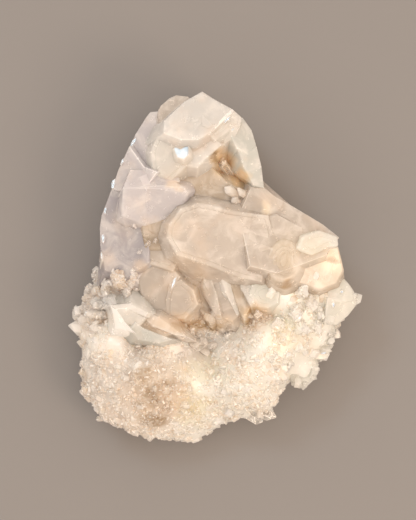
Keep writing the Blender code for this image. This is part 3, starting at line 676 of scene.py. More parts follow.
# %% The faces: height at the middle, rise along x and y, growth steps, tint, corners on the plan
BROAD = {
    # the crown and what stands round it
    "crown": (40.4, (-0.1, -0.42), 0, MILK, [
        (-14.5, 45.5), (-8.5, 51.5), (-3, 54.8), (0.5, 52.4), (6, 49.4), (-1, 42.4), (-4.5, 40.5),
        (-9, 40.2), (-14, 42)]),
    # a thin strip along the crown's right edge, tinted white as a painted highlight
    "crown_bevel_highlight": (39.9, (-0.35, -0.15), 0, WHITE, [
        (-1.2, 42.5), (6, 49.4), (6.8, 48.8), (-0.5, 41.7)]),
    "crown_side": (37.8, (-0.55, 0.1), 1, PALE, [
        (-0.6, 41.8), (6.8, 48.8), (9.3, 46.6), (8.3, 43.5), (5.4, 43.6), (1.5, 40)]),
    "crown_side_low": (36.6, (-0.2, 0.55), 0, PALE, [
        (1, 40), (5.4, 44.0), (8.2, 43.2), (6.3, 41), (2, 38)]),
    "crown_foot": (38.5, (-0.12, 0.24), 0, MILK, [
        (-9.2, 40.6), (-4.5, 40.8), (-1, 42.4), (2, 38.1), (-2, 35.2), (-4.4, 32.2), (-8.4, 32.4),
        (-8.0, 36)]),
    "crown_left": (37.9, (0.12, 0.22), 1, PALE, [
        (-17.5, 30.5), (-18, 36), (-16, 41.5), (-10.5, 42), (-7.6, 38), (-8.3, 32.4), (-13.8, 27.2)]),
    "crown_back": (35.6, (0.1, -0.5), 0, SAND, [
        (-16.4, 49.2), (-15.6, 50.6), (-13.2, 52.8), (-11, 53.8), (-7.5, 53.3), (-5, 50), (-10, 46),
        (-15.5, 43)]),
    "shoulder_high": (34.5, (-0.55, 0.0), 0, SHADE, [
        (6.5, 41), (8.3, 43.6), (9.3, 46.9), (12.2, 43), (13.7, 38), (11, 35.5), (8, 38)]),
    "shoulder_low": (32.8, (-0.42, 0.12), 0, SHADE, [
        (8, 38), (11, 35.5), (13.7, 38), (15.2, 32), (15.6, 26), (12.5, 27.2), (9.6, 32)]),
    # the left flank
    "flank_top": (32.5, (0.62, -0.1), 0, PALE_LILAC, [
        (-20.2, 47.3), (-19, 48.7), (-16.4, 48.8), (-15.2, 42), (-16.5, 36), (-21.5, 31), (-25.4, 38.2),
        (-23.6, 42)]),
    "flank_high": (33.4, (0.6, -0.12), 0, PALE_LILAC, [
        (-25.4, 38.2), (-21.5, 31.4), (-17.5, 30), (-22, 24), (-29.5, 25), (-30.8, 25.4), (-28.8, 31)]),
    "flank_low": (30.0, (0.28, 0.05), 0, LILAC, [
        (-31, 25), (-26, 24.5), (-21, 16), (-20, 10), (-20, 3), (-27, -2), (-33, 0.4), (-34.4, 8),
        (-34.7, 13), (-34.1, 17)]),
    "mid_left_far": (36.6, (-0.1, -0.36), 0, PALE_LILAC, [
        (-25, 30.8), (-17, 30.2), (-13.5, 28.2), (-9.2, 25.4), (-16, 25.3), (-26.5, 25.2)]),
    "mid_left_near": (35.9, (-0.1, 0.32), 0, PALE_LILAC, [
        (-26.5, 25.3), (-16, 25.4), (-9.2, 25.3), (-8.0, 23.6), (-9.2, 21), (-12, 17), (-20, 14.6),
        (-27, 17)]),
    # the middle
    "recess": (31.3, (-0.08, 0.1), 0, TAN, [
        (-13.2, 26.6), (-8.6, 31.8), (-3, 33.2), (-0.2, 31.4), (4.0, 26.6), (9, 25), (16.2, 24.8),
        (19.8, 22.2), (17, 15.5), (3, 17.3), (-4, 18.8), (-9.5, 23.5)]),
    "slab": (36.2, (-0.1, 0.0), 1, SAND, [
        (-12.4, 14), (-9, 18.4), (-4, 20), (0, 19.3), (5, 17.8), (16.5, 16.6), (18, 11), (16.5, 3),
        (14.5, -2.8), (9, -1.7), (4, 0.3), (-1, 2.4), (-10, 5), (-13, 10)]),
    "roof": (32.8, (-0.16, -0.3), 0, SAND, [
        (9, 17), (12, 25.5), (16.2, 25.2), (19.6, 22.5), (24, 20.2), (29, 17.2), (34, 14.2), (39.0, 10.2),
        (34, 5), (20, 0), (12, 2)]),
    "roof_low": (34.2, (-0.14, -0.1), 0, SAND, [
        (15, 15), (20, 16.5), (27, 13), (27, 8), (21, 7.8), (17, 5), (15.5, 8)]),
    "blade_top": (31.4, (0.08, 0.1), 1, SAND, [
        (-23, 9.5), (-17, 11.5), (-12.5, 6.5), (-10, 4.8), (-12.5, 0.5), (-20.5, 3.2)]),
    "dull_patch": (33.2, (0.05, 0.2), 0, TAN, [
        (-21, 15.5), (-15, 15), (-11.5, 16.5), (-12, 11), (-14, 7), (-20, 7)]),
    "blade_broad": (28.7, (0.14, 0.12), 0, SAND, [
        (-20.5, 2.8), (-13, 0.6), (-10.6, -2.3), (-12.8, -8.5), (-15.5, -15.5), (-20.5, -9), (-22, -3)]),
    "blade_hex": (28.9, (-0.05, 0.2), 1, SAND, [
        (-12.6, -4.8), (-9.5, -3.6), (-6.4, -6.4), (-5, -10.2), (-8.5, -14), (-13.8, -14.8), (-13.4, -9)]),
    "blade_brown": (26.6, (-0.1, 0.15), 0, BROWN, [
        (-11.5, 5.8), (-3.5, 4), (-2, -3), (1.5, -13.5), (-1, -15.5), (-5.5, -9), (-9.3, -4)]),
    "blade_next": (28.4, (0.0, 0.17), 0, SAND, [
        (-3, 4), (3, 2.8), (7, -5), (9, -12), (6, -15), (2, -14), (-1.8, -4)]),
    "blade_thin_far": (28.6, (0.5, 0.15), 0, SAND, [
        (-4.5, 4), (-2.5, 4.2), (0.5, -6), (2.5, -13), (1, -13.5), (-2, -6)]),
    "blade_thin": (29.9, (-0.5, 0.15), 0, PALE, [
        (1.5, 3.5), (3.2, 3), (6.5, -6), (8.8, -12.5), (7.4, -13), (4.6, -6)]),
    "blade_thin_near": (30.9, (0.4, 0.1), 0, PALE, [
        (7.5, 2), (9, 1.4), (11.5, -5), (12.8, -9.5), (11.6, -10), (9.6, -5)]),
    "blade_last": (29.4, (-0.1, 0.15), 0, TAN, [
        (4, 2.5), (10, 0.5), (15, -2.5), (12, -9), (10, -14.5), (8.5, -11.5), (6.5, -5)]),
    # the right-hand block
    "bright": (33.7, (-0.3, -0.1), 1, CREAM, [
        (26.6, 7), (28.6, 10.3), (33, 12.3), (38.6, 10.6), (38.9, 7.6), (36, 7.2), (31, 5.3)]),
    "peach": (31.2, (-0.32, 0.2), 0, CLAY, [
        (25.5, 3.5), (31, 5.6), (36.5, 7.4), (38.9, 7.6), (40.7, 0), (38.5, -4.2), (33, -5.5),
        (26.5, -3.5)]),
    "round": (36.3, (-0.14, -0.18), 3, CLAY, [
        (17.3, 1.5), (17.4, 4), (18.6, 6.8), (21, 8.6), (24, 8.4), (26, 6), (26.3, 2), (25, -1), (22, -2.6),
        (19, -1.8)]),
    "cream_disc": (31.5, (-0.05, 0.22), 2, CREAM, [
        (12.2, -7.5), (13, -5), (15.5, -3.6), (18.5, -4.2), (20, -6.5), (19.6, -9.4), (17, -10.8),
        (14, -10.2)]),
    # the lobes of the right-hand rim and the flat points below them
    "lobe_rim": (25.5, (-0.35, -0.15), 0, CREAM, [
        (36.5, -3.5), (39.8, -1.8), (42.5, -3.9), (44.4, -6.6), (45.1, -9.1), (40, -9.6), (36, -9)]),
    "lobe_rim_near": (25, (-0.45, 0.3), 0, CREAM, [
        (36, -8.6), (40, -9.2), (45.1, -9.0), (44.4, -11.4), (42.2, -14.1), (38.6, -17), (35, -16)]),
    "lobe_second": (22, (-0.4, 0.15), 0, CREAM, [
        (33, -16), (38.4, -17), (38.4, -19.3), (37.6, -21.8), (36.6, -23), (33.5, -23.5), (32, -19)]),
    "lobe_third": (20.5, (-0.3, 0.2), 0, CREAM, [
        (31.5, -23), (36.4, -23.2), (36.8, -24.8), (36.1, -27.0), (35.0, -27.7), (33, -27.0),
        (30.5, -26.5)]),
    "tongue": (18.8, (-0.1, 0.15), 0, CREAM, [
        (24.0, -27), (28, -26), (32.2, -27.4), (33.4, -31), (32.3, -33.7), (28.8, -37.1), (26.4, -36.1),
        (25.3, -33.7), (24.5, -31)]),
    "broad_point": (17.5, (-0.1, 0.2), 0, CREAM, [
        (15.8, -36), (19.2, -30.8), (24.4, -31.4), (23.1, -35.6), (19.2, -39.8), (17.0, -42.6),
        (14.5, -43.5), (13.5, -41)]),
    # the long crystal that points left
    "left_end": (32.9, (0.5, 0.35), 0, WHITE, [
        (-31.2, -10.7), (-29.2, -11.7), (-27.2, -15.7), (-24.5, -18.3), (-26.6, -18.2), (-29.4, -17),
        (-30.5, -12.8)]),
    "left_top": (34.0, (0.0, -0.25), 0, PALE, [
        (-31.2, -10.6), (-25, -10.1), (-20.3, -12.7), (-21.2, -13.8), (-26.1, -11.7), (-29.2, -11.9)]),
    "left_hatched": (33.3, (0.05, 0.3), 0, PALE, [
        (-29.2, -11.8), (-26.1, -11.6), (-21.2, -14.4), (-22.9, -16.2), (-27.2, -16)]),
    "left_ridge": (32.9, (0.0, -0.4), 0, SAND, [
        (-20.6, -12.7), (-16, -15.2), (-8.8, -19.8), (-12, -19.2), (-17.4, -16.7), (-21.4, -13.9)]),
    "left_hollow": (31.7, (0.0, 0.1), 0, TAN, [
        (-21.2, -14.2), (-17.4, -16.3), (-12, -18.9), (-15.8, -20), (-20.5, -18.6), (-22.9, -16)]),
    "left_side": (31.9, (0.0, 0.45), 0, SHADE, [
        (-24.6, -18.2), (-22.9, -16.2), (-20.5, -18.3), (-15.8, -19.9), (-13, -21), (-17, -21.8),
        (-22, -20.8)]),
}
print(len(BROAD), "broad faces")

# %% How the broad crystals are shaped, in millimetres
DEPTH = 15.0
SPREAD = 0.6  # how far a crystal's sides move out for each millimetre down
FREE = {"lobe_rim", "lobe_rim_near", "lobe_second", "lobe_third", "tongue", "broad_point"}
FREE_SPREAD = 0.12
EDGE, EDGE_CUTS = 0.3, 2  # a bevel's width and its number of strips
# The edges that are rounder than that
ROUNDED = {
    "lobe_rim": 1.6, "lobe_rim_near": 1.6, "lobe_second": 1.4, "lobe_third": 1.2, "tongue": 1.0,
    "round": 0.9, "peach": 1.0, "bright": 0.7, "broad_point": 0.8, "mid_left_near": 0.5,
}
ROUNDED_CUTS = 5
OVERLAP = 0.7  # how far a face reaches into its neighbours
BEYOND, ABOVE_ALL = 3.0, 60.0  # where the neighbour is felt for, past a corner and from above
STILL_HELD = 8.0  # a neighbour lower than this below the face isn't reached into
STEP_INSET, STEP_RISE = 0.9, 0.2
RIM_PAINTED_HIGHLIGHT = 1.4  # painted highlight: how much brighter the bevels' tint is than the face's
print(len(ROUNDED), "faces with round edges,", len(FREE), "that stand free")

# %% Model a broad crystal
root_surface = BVHTree.FromObject(stone, bpy.context.evaluated_depsgraph_get())


def within_root(place):
    """The place, brought to just under the root's surface if it lies outside."""
    above, facing, _, _ = root_surface.ray_cast(place, Vector((0, 0, 1)))
    if above and facing.z > 0:  # from inside, the first surface met on the way up faces up
        return place
    nearest, normal, _, _ = root_surface.find_nearest(place)
    return nearest - normal * MM


def middle_of(corners):
    return sum((Vector(corner) for corner in corners), Vector((0, 0))) / len(corners)


def overlapping(corners, height):
    """The corners, each moved out over its neighbours, unless it is at the stone's outline."""
    middle = middle_of(corners)
    moved = []
    for corner in corners:
        out = (Vector(corner) - middle).normalized()
        beyond = placed(*(Vector(corner) + out * BEYOND), ABOVE_ALL)
        below, *_ = root_surface.ray_cast(beyond, Vector((0, 0, -1)))
        held = below and below.z > (height - STILL_HELD) * MM
        moved.append(tuple(Vector(corner) + out * OVERLAP) if held else corner)
    return moved


def disc(name, corners, height, rise):
    """A flat face with the plan's corners, at the height and with the rise."""
    plan = [Vector(corner) for corner in corners]
    turned = sum(a.x * b.y - b.x * a.y for a, b in zip(plan, plan[1:] + plan[:1]))
    if turned < 0:
        plan.reverse()
    middle = middle_of(plan)
    bpy.ops.object.select_all(action="DESELECT")
    bpy.ops.mesh.primitive_circle_add(vertices=len(plan), radius=MM, fill_type="NGON", location=(0, 0, 0))
    face = bpy.context.object
    face.name = name
    for vertex, corner in zip(face.data.vertices, plan):
        vertex.co = placed(corner.x, corner.y, height + Vector(rise).dot(corner - middle))
    return face, placed(*middle)


def extruded_down(obj, distance):
    """Extrudes all of the object straight down, and gives the vertices of the new end."""
    edited(obj, bpy.ops.mesh.extrude_region_move, TRANSFORM_OT_translate={"value": (0, 0, -distance)})
    return [vertex for vertex in obj.data.vertices if vertex.select]


def raise_steps(crystal, steps):
    """Insets the largest upward face and raises it, step by step."""
    polygons = crystal.data.polygons
    top = max((p for p in polygons if p.normal.z > 0.7), key=lambda p: p.area)
    index, normal = top.index, top.normal.copy()
    in_edit_mode(crystal)
    bpy.ops.mesh.select_mode(type="FACE")
    bpy.ops.mesh.select_all(action="DESELECT")
    bpy.ops.object.mode_set(mode="OBJECT")
    polygons[index].select = True
    bpy.ops.object.mode_set(mode="EDIT")
    for _ in range(steps):
        bpy.ops.mesh.inset(thickness=STEP_INSET * MM)
        bpy.ops.mesh.inset(thickness=STEP_RISE * MM)
        bpy.ops.transform.translate(value=tuple(normal * STEP_RISE * MM))
    bpy.ops.mesh.select_mode(type="VERT")
    bpy.ops.object.mode_set(mode="OBJECT")


def tinted(obj, tint, polish=0.0, rimmed=False):
    """Gives the object a polish and a tint, whose fourth part is its share against the stone's own colour.
    When rimmed, its thin bevel faces get a brighter tint: a painted highlight.
    """
    attribute = obj.data.attributes.new("tint", "FLOAT_COLOR", "CORNER")
    own = np.array([*tint, 1.0][:4])
    bright = np.array([*np.minimum(own[:3] * RIM_PAINTED_HIGHLIGHT, 1), own[3]])
    rims = thin_faces(*arrays(obj), EDGE * MM / 2) if rimmed else []
    colors = np.tile(own, (len(attribute.data), 1))
    for polygon, rim in zip(obj.data.polygons, rims):
        if rim:
            colors[list(polygon.loop_indices)] = bright
    attribute.data.foreach_set("color", colors.ravel())
    attribute = obj.data.attributes.new("polish", "FLOAT", "CORNER")
    attribute.data.foreach_set("value", [polish] * len(attribute.data))


def broad_crystal(name, corners, height, rise, steps, tint, polish=0.0):
    """A flat-topped crystal that spreads as it goes down into the root."""
    edge = ROUNDED.get(name, EDGE)
    spread = FREE_SPREAD if name in FREE else SPREAD
    crystal, centre = disc(name, corners, height, rise)
    for vertex in extruded_down(crystal, DEPTH * MM):
        out = Vector((vertex.co.x - centre.x, vertex.co.y - centre.y, 0)).normalized()
        vertex.co = within_root(vertex.co + out * DEPTH * spread * MM)
    in_edit_mode(crystal)
    bpy.ops.mesh.normals_make_consistent(inside=False)
    cuts = EDGE_CUTS if edge == EDGE else ROUNDED_CUTS
    bpy.ops.mesh.bevel(offset=edge * MM, segments=cuts, affect="EDGES", clamp_overlap=True)
    bpy.ops.object.mode_set(mode="OBJECT")
    if steps:
        raise_steps(crystal, steps)
    tinted(crystal, tint, polish, rimmed=edge == EDGE)
    return crystal


def moved_to(collection, obj):
    for owner in list(obj.users_collection):
        owner.objects.unlink(obj)
    collection.objects.link(obj)


def new_collection(name):
    collection = bpy.data.collections.new(name)
    bpy.context.scene.collection.children.link(collection)
    return collection


tinted(stone, (*MILK, 0.0))
broad = new_collection("broad crystals")
for name, (height, rise, steps, tint, corners) in BROAD.items():
    moved_to(broad, broad_crystal(name, overlapping(corners, height), height, rise, steps, tint))

# %% [markdown]
# ## Glints
#
# Here and there a small face happens to mirror the window. Each is a low crystal whose top has the one tilt
# that does so, polished, on the face that lies under it. The top is painted a bluish grey, so that the
# reflection on it looks light blue.

# %% Set the glints on the faces
GLINT_RISE = (0.216, -0.264)  # along x and y: this mirrors the window straight up
# Turn in radians, share of the radius
GLINT_CORNERS = [(0.2, 0.95), (1.1, 1.0), (2.0, 0.95), (2.9, 1.0), (3.9, 0.95), (4.8, 1.0), (5.6, 0.95)]
# Place on the plan, half its width and length in millimetres, turn in degrees
GLINTS = [
    (-9.3, 36.6, 2.5, 2.9, 10), (-11.8, -3.6, 0.55, 2.2, -20), (-24.2, 39.5, 0.5, 1.4, -35),
    (-27.6, 33.4, 0.4, 1.2, -25), (-30.4, 26.6, 0.5, 1.5, -10), (-32.9, 18.5, 0.4, 1.2, -10),
    (-33.6, 10, 0.6, 1.5, 0), (-34.0, 4.5, 0.4, 1.2, 10), (4.5, 46.0, 0.4, 1.6, -45),
    (6.4, 43.4, 0.4, 1.0, -30), (8.6, 31.8, 0.3, 1.2, -30), (14, -12.4, 0.8, 0.9, 0),
    (37.4, -10.5, 0.5, 0.8, 0), (34.6, -25.6, 1.0, 0.5, 10), (28.5, -29.5, 0.8, 0.6, 0),
    (40, -6.5, 0.6, 0.5, 20),
]
GLINT_RAISED = 0.05  # millimetres clear of the face
LOWEST_FACE = 28.0  # the height where no broad face is
# the glint tops are painted bluish grey, which turns the window's reflection light blue
GLINT_PAINTED_BLUE, GLINT_POLISH = (0.42, 0.48, 0.55), 0.7
FACES_UP = 0.9  # a glint's top has a normal that rises more than this


def covers(corners, x, y):
    """Whether the place lies within the corners: a line from it meets their outline an odd number of times."""
    crossed = False
    for (x1, y1), (x2, y2) in zip(corners, corners[1:] + corners[:1]):
        if (y1 > y) != (y2 > y) and x < (x2 - x1) * (y - y1) / (y2 - y1) + x1:
            crossed = not crossed
    return crossed


def face_at(x, y):
    """The height and the tint of the highest broad face at the plan's place."""
    best = (0.0, MILK)
    for height, rise, _, tint, corners in BROAD.values():
        if covers(corners, x, y):
            best = max(best, (height + Vector(rise).dot(Vector((x, y)) - middle_of(corners)), tint))
    return best if best[0] else (LOWEST_FACE, MILK)


for number, (x, y, wide, tall, turn) in enumerate(GLINTS):
    turned = Matrix.Rotation(math.radians(turn), 2)
    corners = [turned @ Vector((math.cos(a) * wide * r, math.sin(a) * tall * r)) for a, r in GLINT_CORNERS]
    # high enough for each corner to clear the face under it
    height = max(face_at(x + c.x, y + c.y)[0] - Vector(GLINT_RISE).dot(c) for c in corners) + GLINT_RAISED
    corners = [(x + corner.x, y + corner.y) for corner in corners]
    glint = broad_crystal(f"glint {number}", corners, height, GLINT_RISE, 0, face_at(x, y)[1], GLINT_POLISH)
    # the top gets the painted bluish grey of the reflection
    tints = glint.data.attributes["tint"].data
    for polygon in glint.data.polygons:
        if polygon.normal.z > FACES_UP:
            for corner in polygon.loop_indices:
                tints[corner].color = (*GLINT_PAINTED_BLUE, 1)
    moved_to(broad, glint)
print(len(GLINTS), "glints")

# %% [markdown]
# ## The fans and the blocks
#
# At the rim and in the gaps between the broad faces stand crystals as thick as a pencil, placed one by one in
# fans. The root between them is made of stubby crystals a few millimetres wide, most of them sunk so deep
# that only an end shows. All are copies of the pattern ends, milky in the same material, and join in the
# same Boolean. Those with no strong tint of their own are pale at the tip and darker and warmer at the foot:
# part stain, part painted shade where the crystals crowd together.

# %% Crystals as objects for a Boolean
# pale tip, and a darker, warmer foot that is part iron stain and part painted shade where crystals crowd
TIP_COLOR, FOOT_STAIN_AND_SHADE = (0.99, 0.95, 0.90, 0.6), (0.82, 0.66, 0.50, 0.7)
WARM_SHARE = 0.45  # of the length, over which a crystal's colour goes from its tip's to its foot's
BARE = 0.5  # a crystal whose own tint counts for less than this is coloured from tip to foot
PALER, DEEPER = 0.9, 1.15  # the range by which chance changes a tint


def warmed(obj, depths):
    """Colours a crystal from its pale tip to its darker foot: part stain, part painted shade between crowded
    crystals.
    """
    tip, foot = np.array(TIP_COLOR), np.array(FOOT_STAIN_AND_SHADE)
    shares = np.clip([depths[loop.vertex_index] for loop in obj.data.loops], 0, 1)[:, None]
    obj.data.attributes["tint"].data.foreach_set("color", (tip * (1 - shares) + foot * shares).ravel())


def add_crystals(plants, patterns, collection):
    """Each plant as an object of its own, for a Boolean, in the tint of its place, a little changed."""
    for number, (tip, along, length, radius, flatness, roll, tint) in enumerate(plants):
        pattern, faces = patterns[chooser.integers(len(patterns))]
        grown = crystal_points(pattern, tip, along, length, radius, flatness, roll)
        crystal = new_object(f"small {number}", grown, faces, collection)
        tinted(crystal, (*np.minimum(tint[:3] * chooser.uniform(PALER, DEEPER), 1), tint[3]))
        if tint[3] < BARE:
            warmed(crystal, (np.array(tip) - grown) @ np.array(along) / (length * WARM_SHARE))


def point_plants(points, tint):
    """Crystals placed by hand, as plants."""
    plants = []
    for foot, tip, radius, flatness, roll in points:
        along = Vector(tip) - Vector(foot)
        # Crystals placed one by one, as plants.
        plants.append((placed(*tip), along.normalized(), along.length * MM, radius * MM, flatness,
                       math.radians(roll), tint))
    return plants


print("blocks are warmed over", WARM_SHARE, "of their length")

# %% The fans: root, tip, radius, flatness, roll in degrees
FAN = [
    ((22, -4, 20), (30, -5.5, 31.5), 2.9, 0.8, 10), ((24, -8, 19), (33, -10.5, 30), 2.7, 0.9, 30),
    ((22, -12, 20), (27.5, -13, 31), 2.4, 0.9, 0), ((20, -14, 18), (29, -18.5, 29), 2.6, 0.8, 20),
    ((24, -14, 16), (34.5, -17.5, 26), 2.6, 0.9, 5), ((18, -18, 18), (22.5, -21.5, 29), 2.4, 1.0, 40),
    ((20, -18, 15), (30.5, -24, 24.5), 2.6, 0.8, 15), ((16, -20, 16), (18.5, -26.5, 27.5), 2.2, 0.9, 0),
    ((20, -22, 14), (25, -29, 24), 2.2, 0.9, 25), ((12, -22, 16), (12, -28.5, 27.5), 2.1, 1.0, 10),
    ((30, -6, 18), (38, -8.5, 27), 2.9, 0.8, 35), ((28, 0, 20), (33.5, -1.5, 32), 2.7, 0.8, 0),
    ((24, -2, 22), (26.5, 1.5, 33.5), 2.2, 0.9, 15), ((30, -12, 14), (39.5, -13.5, 22), 2.7, 0.8, 0),
    ((22, -26, 12), (23.5, -35, 19), 2.7, 0.8, 10), ((26, -22, 12), (31.5, -30.5, 19), 2.6, 0.8, 30),
    ((16, -24, 12), (17.5, -35, 22), 2.4, 0.9, 0), ((29, -18, 12), (35.8, -28.2, 16.5), 2.1, 0.9, 0),
    ((8, -24, 14), (7.5, -33, 26), 2.1, 1.0, 20), ((19, -11, 22), (17.2, -5.4, 33.2), 2.3, 0.9, 30),
    ((22, -9, 22), (21.2, -3.8, 33.2), 1.9, 0.9, 0), ((22, -22, 18), (20, -15.5, 30), 2.4, 0.9, 20),
    ((24, -18, 14), (31.0, -27.0, 22.5), 2.1, 0.8, 20), ((20, -20, 14), (28, -24, 26.5), 2.2, 0.9, 10),
    ((0, 18, 24), (-6.6, 22.6, 32.6), 1.1, 0.7, 10), ((12, 20.6, 26.5), (3.9, 25.6, 32.9), 1.6, 0.6, 15),
    ((13, 21.6, 26.5), (7.4, 24.8, 33.2), 1.4, 0.7, 40), ((12, 18, 26.5), (6.0, 22.3, 32.8), 1.2, 0.6, 0),
    ((-24, -13, 17), (-42.9, -12.2, 20), 1.3, 0.6, 0), ((-27, -20, 16), (-44.9, -17.6, 17.5), 2.4, 0.7, 0),
    ((-26, -17, 18), (-42, -15, 22.5), 1.6, 0.5, 10), ((-34, -12, 11), (-36.2, 1.4, 16), 1.5, 0.6, 0),
    ((-34, -14, 12), (-38.2, -4, 17), 1.4, 0.6, 20), ((-31, -4, 14), (-34.6, 5, 20), 1.3, 0.6, 20),
    ((-22, -14, 22), (-39.5, -13.4, 26.5), 1.3, 0.45, 5),
    ((-22, -19, 22), (-38.2, -17.6, 26.5), 1.4, 0.45, 5), ((-26, -12, 20), (-37, -11, 26), 1.2, 0.45, 0),
    ((-24, -9, 20), (-24.5, 0.3, 30.5), 1.7, 0.7, 0), ((-30, -3, 17), (-33.5, -6, 27), 1.8, 0.7, 0),
    ((-27, -8, 20), (-30.5, -3.4, 28), 1.5, 0.7, 20), ((-24, -12, 20), (-26.5, -6, 30), 1.5, 0.7, 40),
]
FAN_TINT = np.array([*WHITE, 0.4])
add_crystals(point_plants(FAN, FAN_TINT), large_ends, broad)
print(len(FAN), "crystals in fans")

# %% Sink the blocks in the root
# Where the root is blocky: middle, reach
BLOCKY = [
    ((-20, -38), (26, 19)), ((6, -38), (18, 15)), ((-34, -10), (12, 12)), ((-4, -19), (18, 6)),
    ((16, -22), (14, 12)), ((30, -14), (14, 16)), ((22, -4), (9, 5)), ((-24, 8), (5, 9)),
]


def on_blocky(places, normals, tints):
    return (inside(places, BLOCKY) > 0) & (normals[:, 2] > 0)


blocks = plants_on(Surface(stone), 1300, (1.0, 2.4), (5, 7), lean=0.32, sunk=0.84, rule=on_blocky)
add_crystals(blocks, small_ends, broad)
print(len(blocks), "blocks")

# %% [markdown]
# ## Growing together
#
# One Boolean joins the root with every broad crystal and block. A second adds thin plates that lie almost
# flat in the broad faces, the steps and flakes of their growth. A third cuts the hollow under the crown,
# which was left open where crystals met round a gap. All use the Manifold solver, which needs closed meshes
# and keeps the tints.

# %% Join the crystals with the root
def combined(obj, collection, operation):
    """Joins the object with all in the collection, or cuts them from it, and empties the collection."""
    modified(obj, "BOOLEAN", operation=operation, operand_type="COLLECTION", collection=collection,
             solver="MANIFOLD")
    for part in list(collection.objects):
        bpy.data.objects.remove(part, do_unlink=True)
    bpy.data.collections.remove(collection)


combined(stone, broad, "UNION")
print("joined:", len(stone.data.polygons), "faces")

# %% Add the plates
PLATES_ABOVE, PLATES_LEVEL = 24 * MM, 0.8  # only on faces this high, whose normals rise more than this
PLATE_PROUD = 2.2 * MM  # how far outside the root a plate's rim may be


def on_faces(places, normals, tints):
    """On the broad faces, away from the blocks."""
    level = normals[:, 2] > PLATES_LEVEL
    return level & (places[:, 2] > PLATES_ABOVE) & (inside(places, BLOCKY) <= 0)


def clear_of_outline(plant):
    """Whether the plate's rim stays within or near the root all round."""
    tip, along, _, radius, *_ = plant
    turn = upright(along, 0)
    for side in range(SIDES):
        place = tip + turn @ Vector((math.cos(side), math.sin(side), 0)) * radius
        nearest, normal, _, _ = root_surface.find_nearest(place)
        if (place - nearest).dot(normal) > PLATE_PROUD:
            return False
    return True


steps = plants_on(Surface(stone), 240, (1.5, 6.0), (4, 5), lean=0.03, sunk=0.97, rule=on_faces)
steps = [plant for plant in steps if clear_of_outline(plant)]
plates = new_collection("plates")
add_crystals(steps, blunt_ends, plates)
combined(stone, plates, "UNION")
print(len(steps), "plates")

# %% Cut the hollow
HOLLOW = [
    (-0.3, 34.3), (1.2, 36.6), (3.0, 37.8), (4.3, 36), (6.3, 32.6), (10.3, 28.6), (9.8, 26.4), (5.2, 26.6),
    (3.2, 29), (0.2, 32.2),
]
HOLLOW_TOP, HOLLOW_DEPTH, HOLLOW_NARROWING = 44.0, 14.5, 0.5

cutter, centre = disc("hollow", HOLLOW, HOLLOW_TOP, (0, 0))
for vertex in extruded_down(cutter, HOLLOW_DEPTH * MM):
    vertex.co.x = centre.x + (vertex.co.x - centre.x) * HOLLOW_NARROWING
    vertex.co.y = centre.y + (vertex.co.y - centre.y) * HOLLOW_NARROWING
edited(cutter, bpy.ops.mesh.normals_make_consistent, inside=False)
tinted(cutter, GOLDEN)
cutters = new_collection("cutters")
moved_to(cutters, cutter)
combined(stone, cutters, "DIFFERENCE")
print("mass so far:", len(stone.data.polygons), "faces")

# %% [markdown]
# ## The crust
#
# The rest of the stone is covered with small crystals that grew wherever there was room, as thick as sugar
# on the near mounds and coarser on the walls. They are spread over the surface, each sunk in it and leaning
# by chance from its normal, and a last Boolean makes them one with the stone.

# %% Plant the crust
# Where the crust is thick: middle, reach
CRUST = [
    ((-21, -38), (26, 20)), ((6, -38), (18, 16)), ((-34, -10), (12, 13)), ((-4, -18), (18, 6)),
    ((16, -22), (12, 12)), ((28, -14), (10, 12)), ((22, -2), (8, 6)), ((-24, 6), (4, 12)),
]
OWN_FACE = 0.9  # a place whose own tint counts for more than this is a broad face, which stays bare
UNEVEN, UNEVEN_SIZE = 0.3, 4.0  # how far noise changes the crust's thickness, and its lumps
THIN = 0.12  # where the crust is thinner than this, there is none
UPPER_HALF = -4.0  # beyond this y the walls are broad faces, and crystals grow only low on them
WALL_LOW, WALL_HIGH, WALL_FOOT = 14.0, 26.0, 3.0


def on_crust(places, normals, tints):
    thick = inside(places, CRUST)
    free = tints[:, 3] < OWN_FACE
    uneven = thick + lumpy(places, UNEVEN_SIZE) * UNEVEN
    return free & (thick > 0) & (uneven > THIN) & (normals[:, 2] > 0.1)


def on_walls(places, normals, tints):
    _, y = on_plan(places)
    low = places[:, 2] < np.where(y > UPPER_HALF, WALL_LOW, WALL_HIGH) * MM
    return (normals[:, 2] < 0.45) & (normals[:, 2] > -0.6) & (places[:, 2] > WALL_FOOT * MM) & low


crust = new_collection("crust")
mass = Surface(stone)
druse = plants_on(mass, 9000, (0.4, 1.3), (1.8, 3.2), lean=0.6, sunk=0.70, rule=on_crust)
walls = plants_on(mass, 7000, (0.6, 1.9), (2.2, 4.0), lean=0.5, sunk=0.8, rule=on_walls)
add_crystals(druse + walls, small_ends, crust)
print(len(druse), "+", len(walls), "crust crystals")
combined(stone, crust, "UNION")
# the foot is sawn flat at the floor
edited(stone, bpy.ops.mesh.bisect, plane_co=(0, 0, 0), plane_no=(0, 0, -1), use_fill=True, clear_outer=True)
dressed(stone, milky)
print("mass:", len(stone.data.polygons), "faces")

# %% [markdown]
# ## The clear crystals
#
# Thin crystals and tips have few veils in them, so they are clear: full transmission and quartz's index of
# refraction, with a trace of warm absorption. Growth lines and veils mix some milkiness in, and the bevels
# are made milkier as a painted highlight along the edges. The finest crystals of the crust are like sugar:
# white or stained by chance, glossy, and a little see-through.

# %% The clear materials
CLEAN_COLOR, HAZY_COLOR, SUGAR_COLOR = (1, 0.985, 0.96, 1), (1, 0.99, 0.97, 1), (1, 0.99, 0.96, 1)
HAZY_ROUGHNESS = 0.25
GROWTH_LINES, GROWTH_HEIGHT = 0.3, 0.2 * MM
WARM_GLASS, WARM_DENSITY = (1.0, 0.93, 0.82, 1), 12.0
SUGAR_WHITE = 0.9  # how white the whitest facet of the finest crystals is
SUGAR_CLEAR = 0.3


